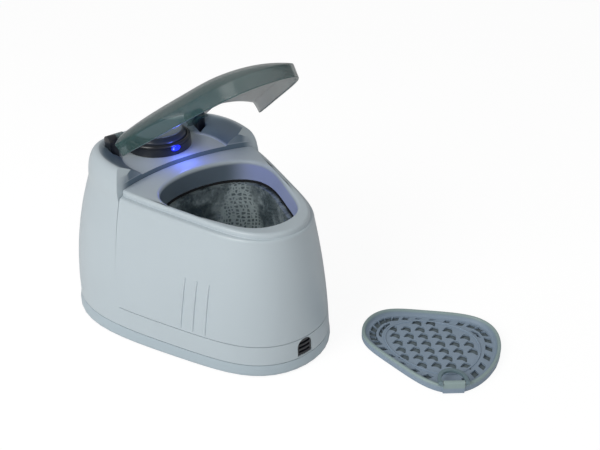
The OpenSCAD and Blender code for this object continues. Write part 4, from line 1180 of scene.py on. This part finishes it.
class OBJECT_OT_lens_cleaner_stage(bpy.types.Operator):
    """Add the pale floor with a painted shadow under the basket, the soft lamps and the camera"""

    bl_idname = "object.lens_cleaner_stage"
    bl_label = "Stage"

    def lamp(self, name, place, size, power, colour):
        bpy.ops.object.light_add(type="AREA", location=place)
        lamp = bpy.context.object
        lamp.name = name
        lamp.data.shape = "DISK"
        lamp.data.size = size
        lamp.data.energy = power
        lamp.data.color = colour
        lamp.rotation_euler = (Vector((0, 0, 0.06)) - Vector(place)).to_track_quat("-Z", "Y").to_euler()

    def execute(self, context):
        stage = context.scene.lens_cleaner_stage
        clear_selection()
        bpy.ops.mesh.primitive_plane_add(size=6, location=(0, 0, -0.0002))
        floor = context.object
        floor.name = "pale_floor"
        paint = Finish("pale_floor", roughness=0.9)
        nodes, links = paint.nodes, paint.links
        glow = nodes.new("ShaderNodeEmission")
        glow.inputs["Color"].default_value = (1, 1, 1, 1)
        glow.inputs["Strength"].default_value = 1.1
        blend = nodes.new("ShaderNodeMixShader")
        path = nodes.new("ShaderNodeLightPath")
        # painted shadow: inside the basket's outline the floor is darkened, so the drain holes read dark
        turned_back = paint.node("ShaderNodeVectorRotate", {"rotation_type": "Z_AXIS"}, paint.place,
                                 (BASKET_X * MM, BASKET_Y * MM, 0), angle=-radians(BASKET_TURN))
        x, y, _ = paint.axes(turned_back.outputs[0])
        under = inside_outline(BASKET_LINE, x - BASKET_X * MM, y - BASKET_Y * MM, 2.5)
        paint.colour(paint.blend(under, (0.86, 0.86, 0.86), (0.16, 0.20, 0.22)))
        seen = Value(paint, path.outputs["Is Camera Ray"]) * FLOOR_GLOW_SHARE
        # the floor's glow is left out inside the painted shadow
        paint.feed(blend.inputs[0], (1 - under) * seen)
        links.new(paint.shader.outputs[0], blend.inputs[1])
        links.new(glow.outputs[0], blend.inputs[2])
        links.new(blend.outputs[0], nodes["Material Output"].inputs["Surface"])
        floor.data.materials.append(paint.material)
        self.lamp("key_lamp", (-0.85, -0.12, 0.62), 0.6, stage.key_power, (1.0, 0.99, 0.97))
        self.lamp("fill_lamp", (-0.25, -0.95, 0.75), 0.8, stage.fill_power, (0.97, 0.99, 1.0))
        bpy.ops.object.light_add(type="POINT", location=(0.001, 0.0235, 0.1045))
        glow_lamp = bpy.context.object
        glow_lamp.name = "lamp_glow"
        glow_lamp.data.energy = stage.glow_power
        glow_lamp.data.color = (0.10, 0.16, 1.0)
        glow_lamp.data.shadow_soft_size = 0.003
        world = bpy.data.worlds.new("even_sky")
        world.use_nodes = True
        nodes, links = world.node_tree.nodes, world.node_tree.links
        sky, white_sky = nodes["Background"], nodes.new("ShaderNodeBackground")
        for background, strength in ((sky, stage.sky), (white_sky, 1)):
            background.inputs["Color"].default_value = (1, 1, 1, 1)
            background.inputs["Strength"].default_value = strength
        blend = nodes.new("ShaderNodeMixShader")
        links.new(nodes.new("ShaderNodeLightPath").outputs["Is Camera Ray"], blend.inputs[0])
        links.new(sky.outputs[0], blend.inputs[1])
        links.new(white_sky.outputs[0], blend.inputs[2])
        links.new(blend.outputs[0], nodes["World Output"].inputs["Surface"])
        context.scene.world = world
        bpy.ops.object.camera_add(location=(-0.2626, -0.4003, 0.3334),
                                  rotation=(radians(59.88), 0, radians(-40.46)))
        camera = context.object
        camera.name = "photo_camera"
        camera.data.lens = 50
        camera.data.sensor_width = 36
        camera.data.clip_start = 0.01
        context.scene.camera = camera
        context.scene.view_settings.view_transform = "Standard"
        return {"FINISHED"}


PIECE_OPERATORS = (
    OBJECT_OT_lens_cleaner_stage,
    OBJECT_OT_lens_cleaner_paint,
    OBJECT_OT_lens_cleaner_front,
    OBJECT_OT_lens_cleaner_rear,
    OBJECT_OT_lens_cleaner_ribs,
    OBJECT_OT_lens_cleaner_tank,
    OBJECT_OT_lens_cleaner_lid,
    OBJECT_OT_lens_cleaner_button,
    OBJECT_OT_lens_cleaner_basket,
    OBJECT_OT_lens_cleaner_trim,
)
SETTINGS = {
    "lens_cleaner_colours": LensCleanerColours,
    "lens_cleaner_housing": LensCleanerHousing,
    "lens_cleaner_lid": LensCleanerLid,
    "lens_cleaner_basket": LensCleanerBasket,
    "lens_cleaner_stage": LensCleanerStage,
}


class VIEW3D_PT_lens_cleaner(bpy.types.Panel):
    bl_label = "Lens Cleaner"
    bl_space_type = "VIEW_3D"
    bl_region_type = "UI"
    bl_category = "Lens Cleaner"

    def draw(self, context):
        for key, group in SETTINGS.items():
            box = self.layout.box()
            for name in group.__annotations__:
                box.prop(getattr(context.scene, key), name)
        for operator in PIECE_OPERATORS:
            self.layout.operator(operator.bl_idname)


def register():
    for group in SETTINGS.values():
        bpy.utils.register_class(group)
    for operator in PIECE_OPERATORS:
        bpy.utils.register_class(operator)
    bpy.utils.register_class(VIEW3D_PT_lens_cleaner)
    for key, group in SETTINGS.items():
        setattr(bpy.types.Scene, key, bpy.props.PointerProperty(type=group))


def unregister():
    for key in SETTINGS:
        delattr(bpy.types.Scene, key)
    bpy.utils.unregister_class(VIEW3D_PT_lens_cleaner)
    for operator in reversed(PIECE_OPERATORS):
        bpy.utils.unregister_class(operator)
    for group in SETTINGS.values():
        bpy.utils.unregister_class(group)


def main():
    register()
    for operator in PIECE_OPERATORS:
        group, name = operator.bl_idname.split(".")
        getattr(getattr(bpy.ops, group), name)()


if __name__ == "__main__":
    main()
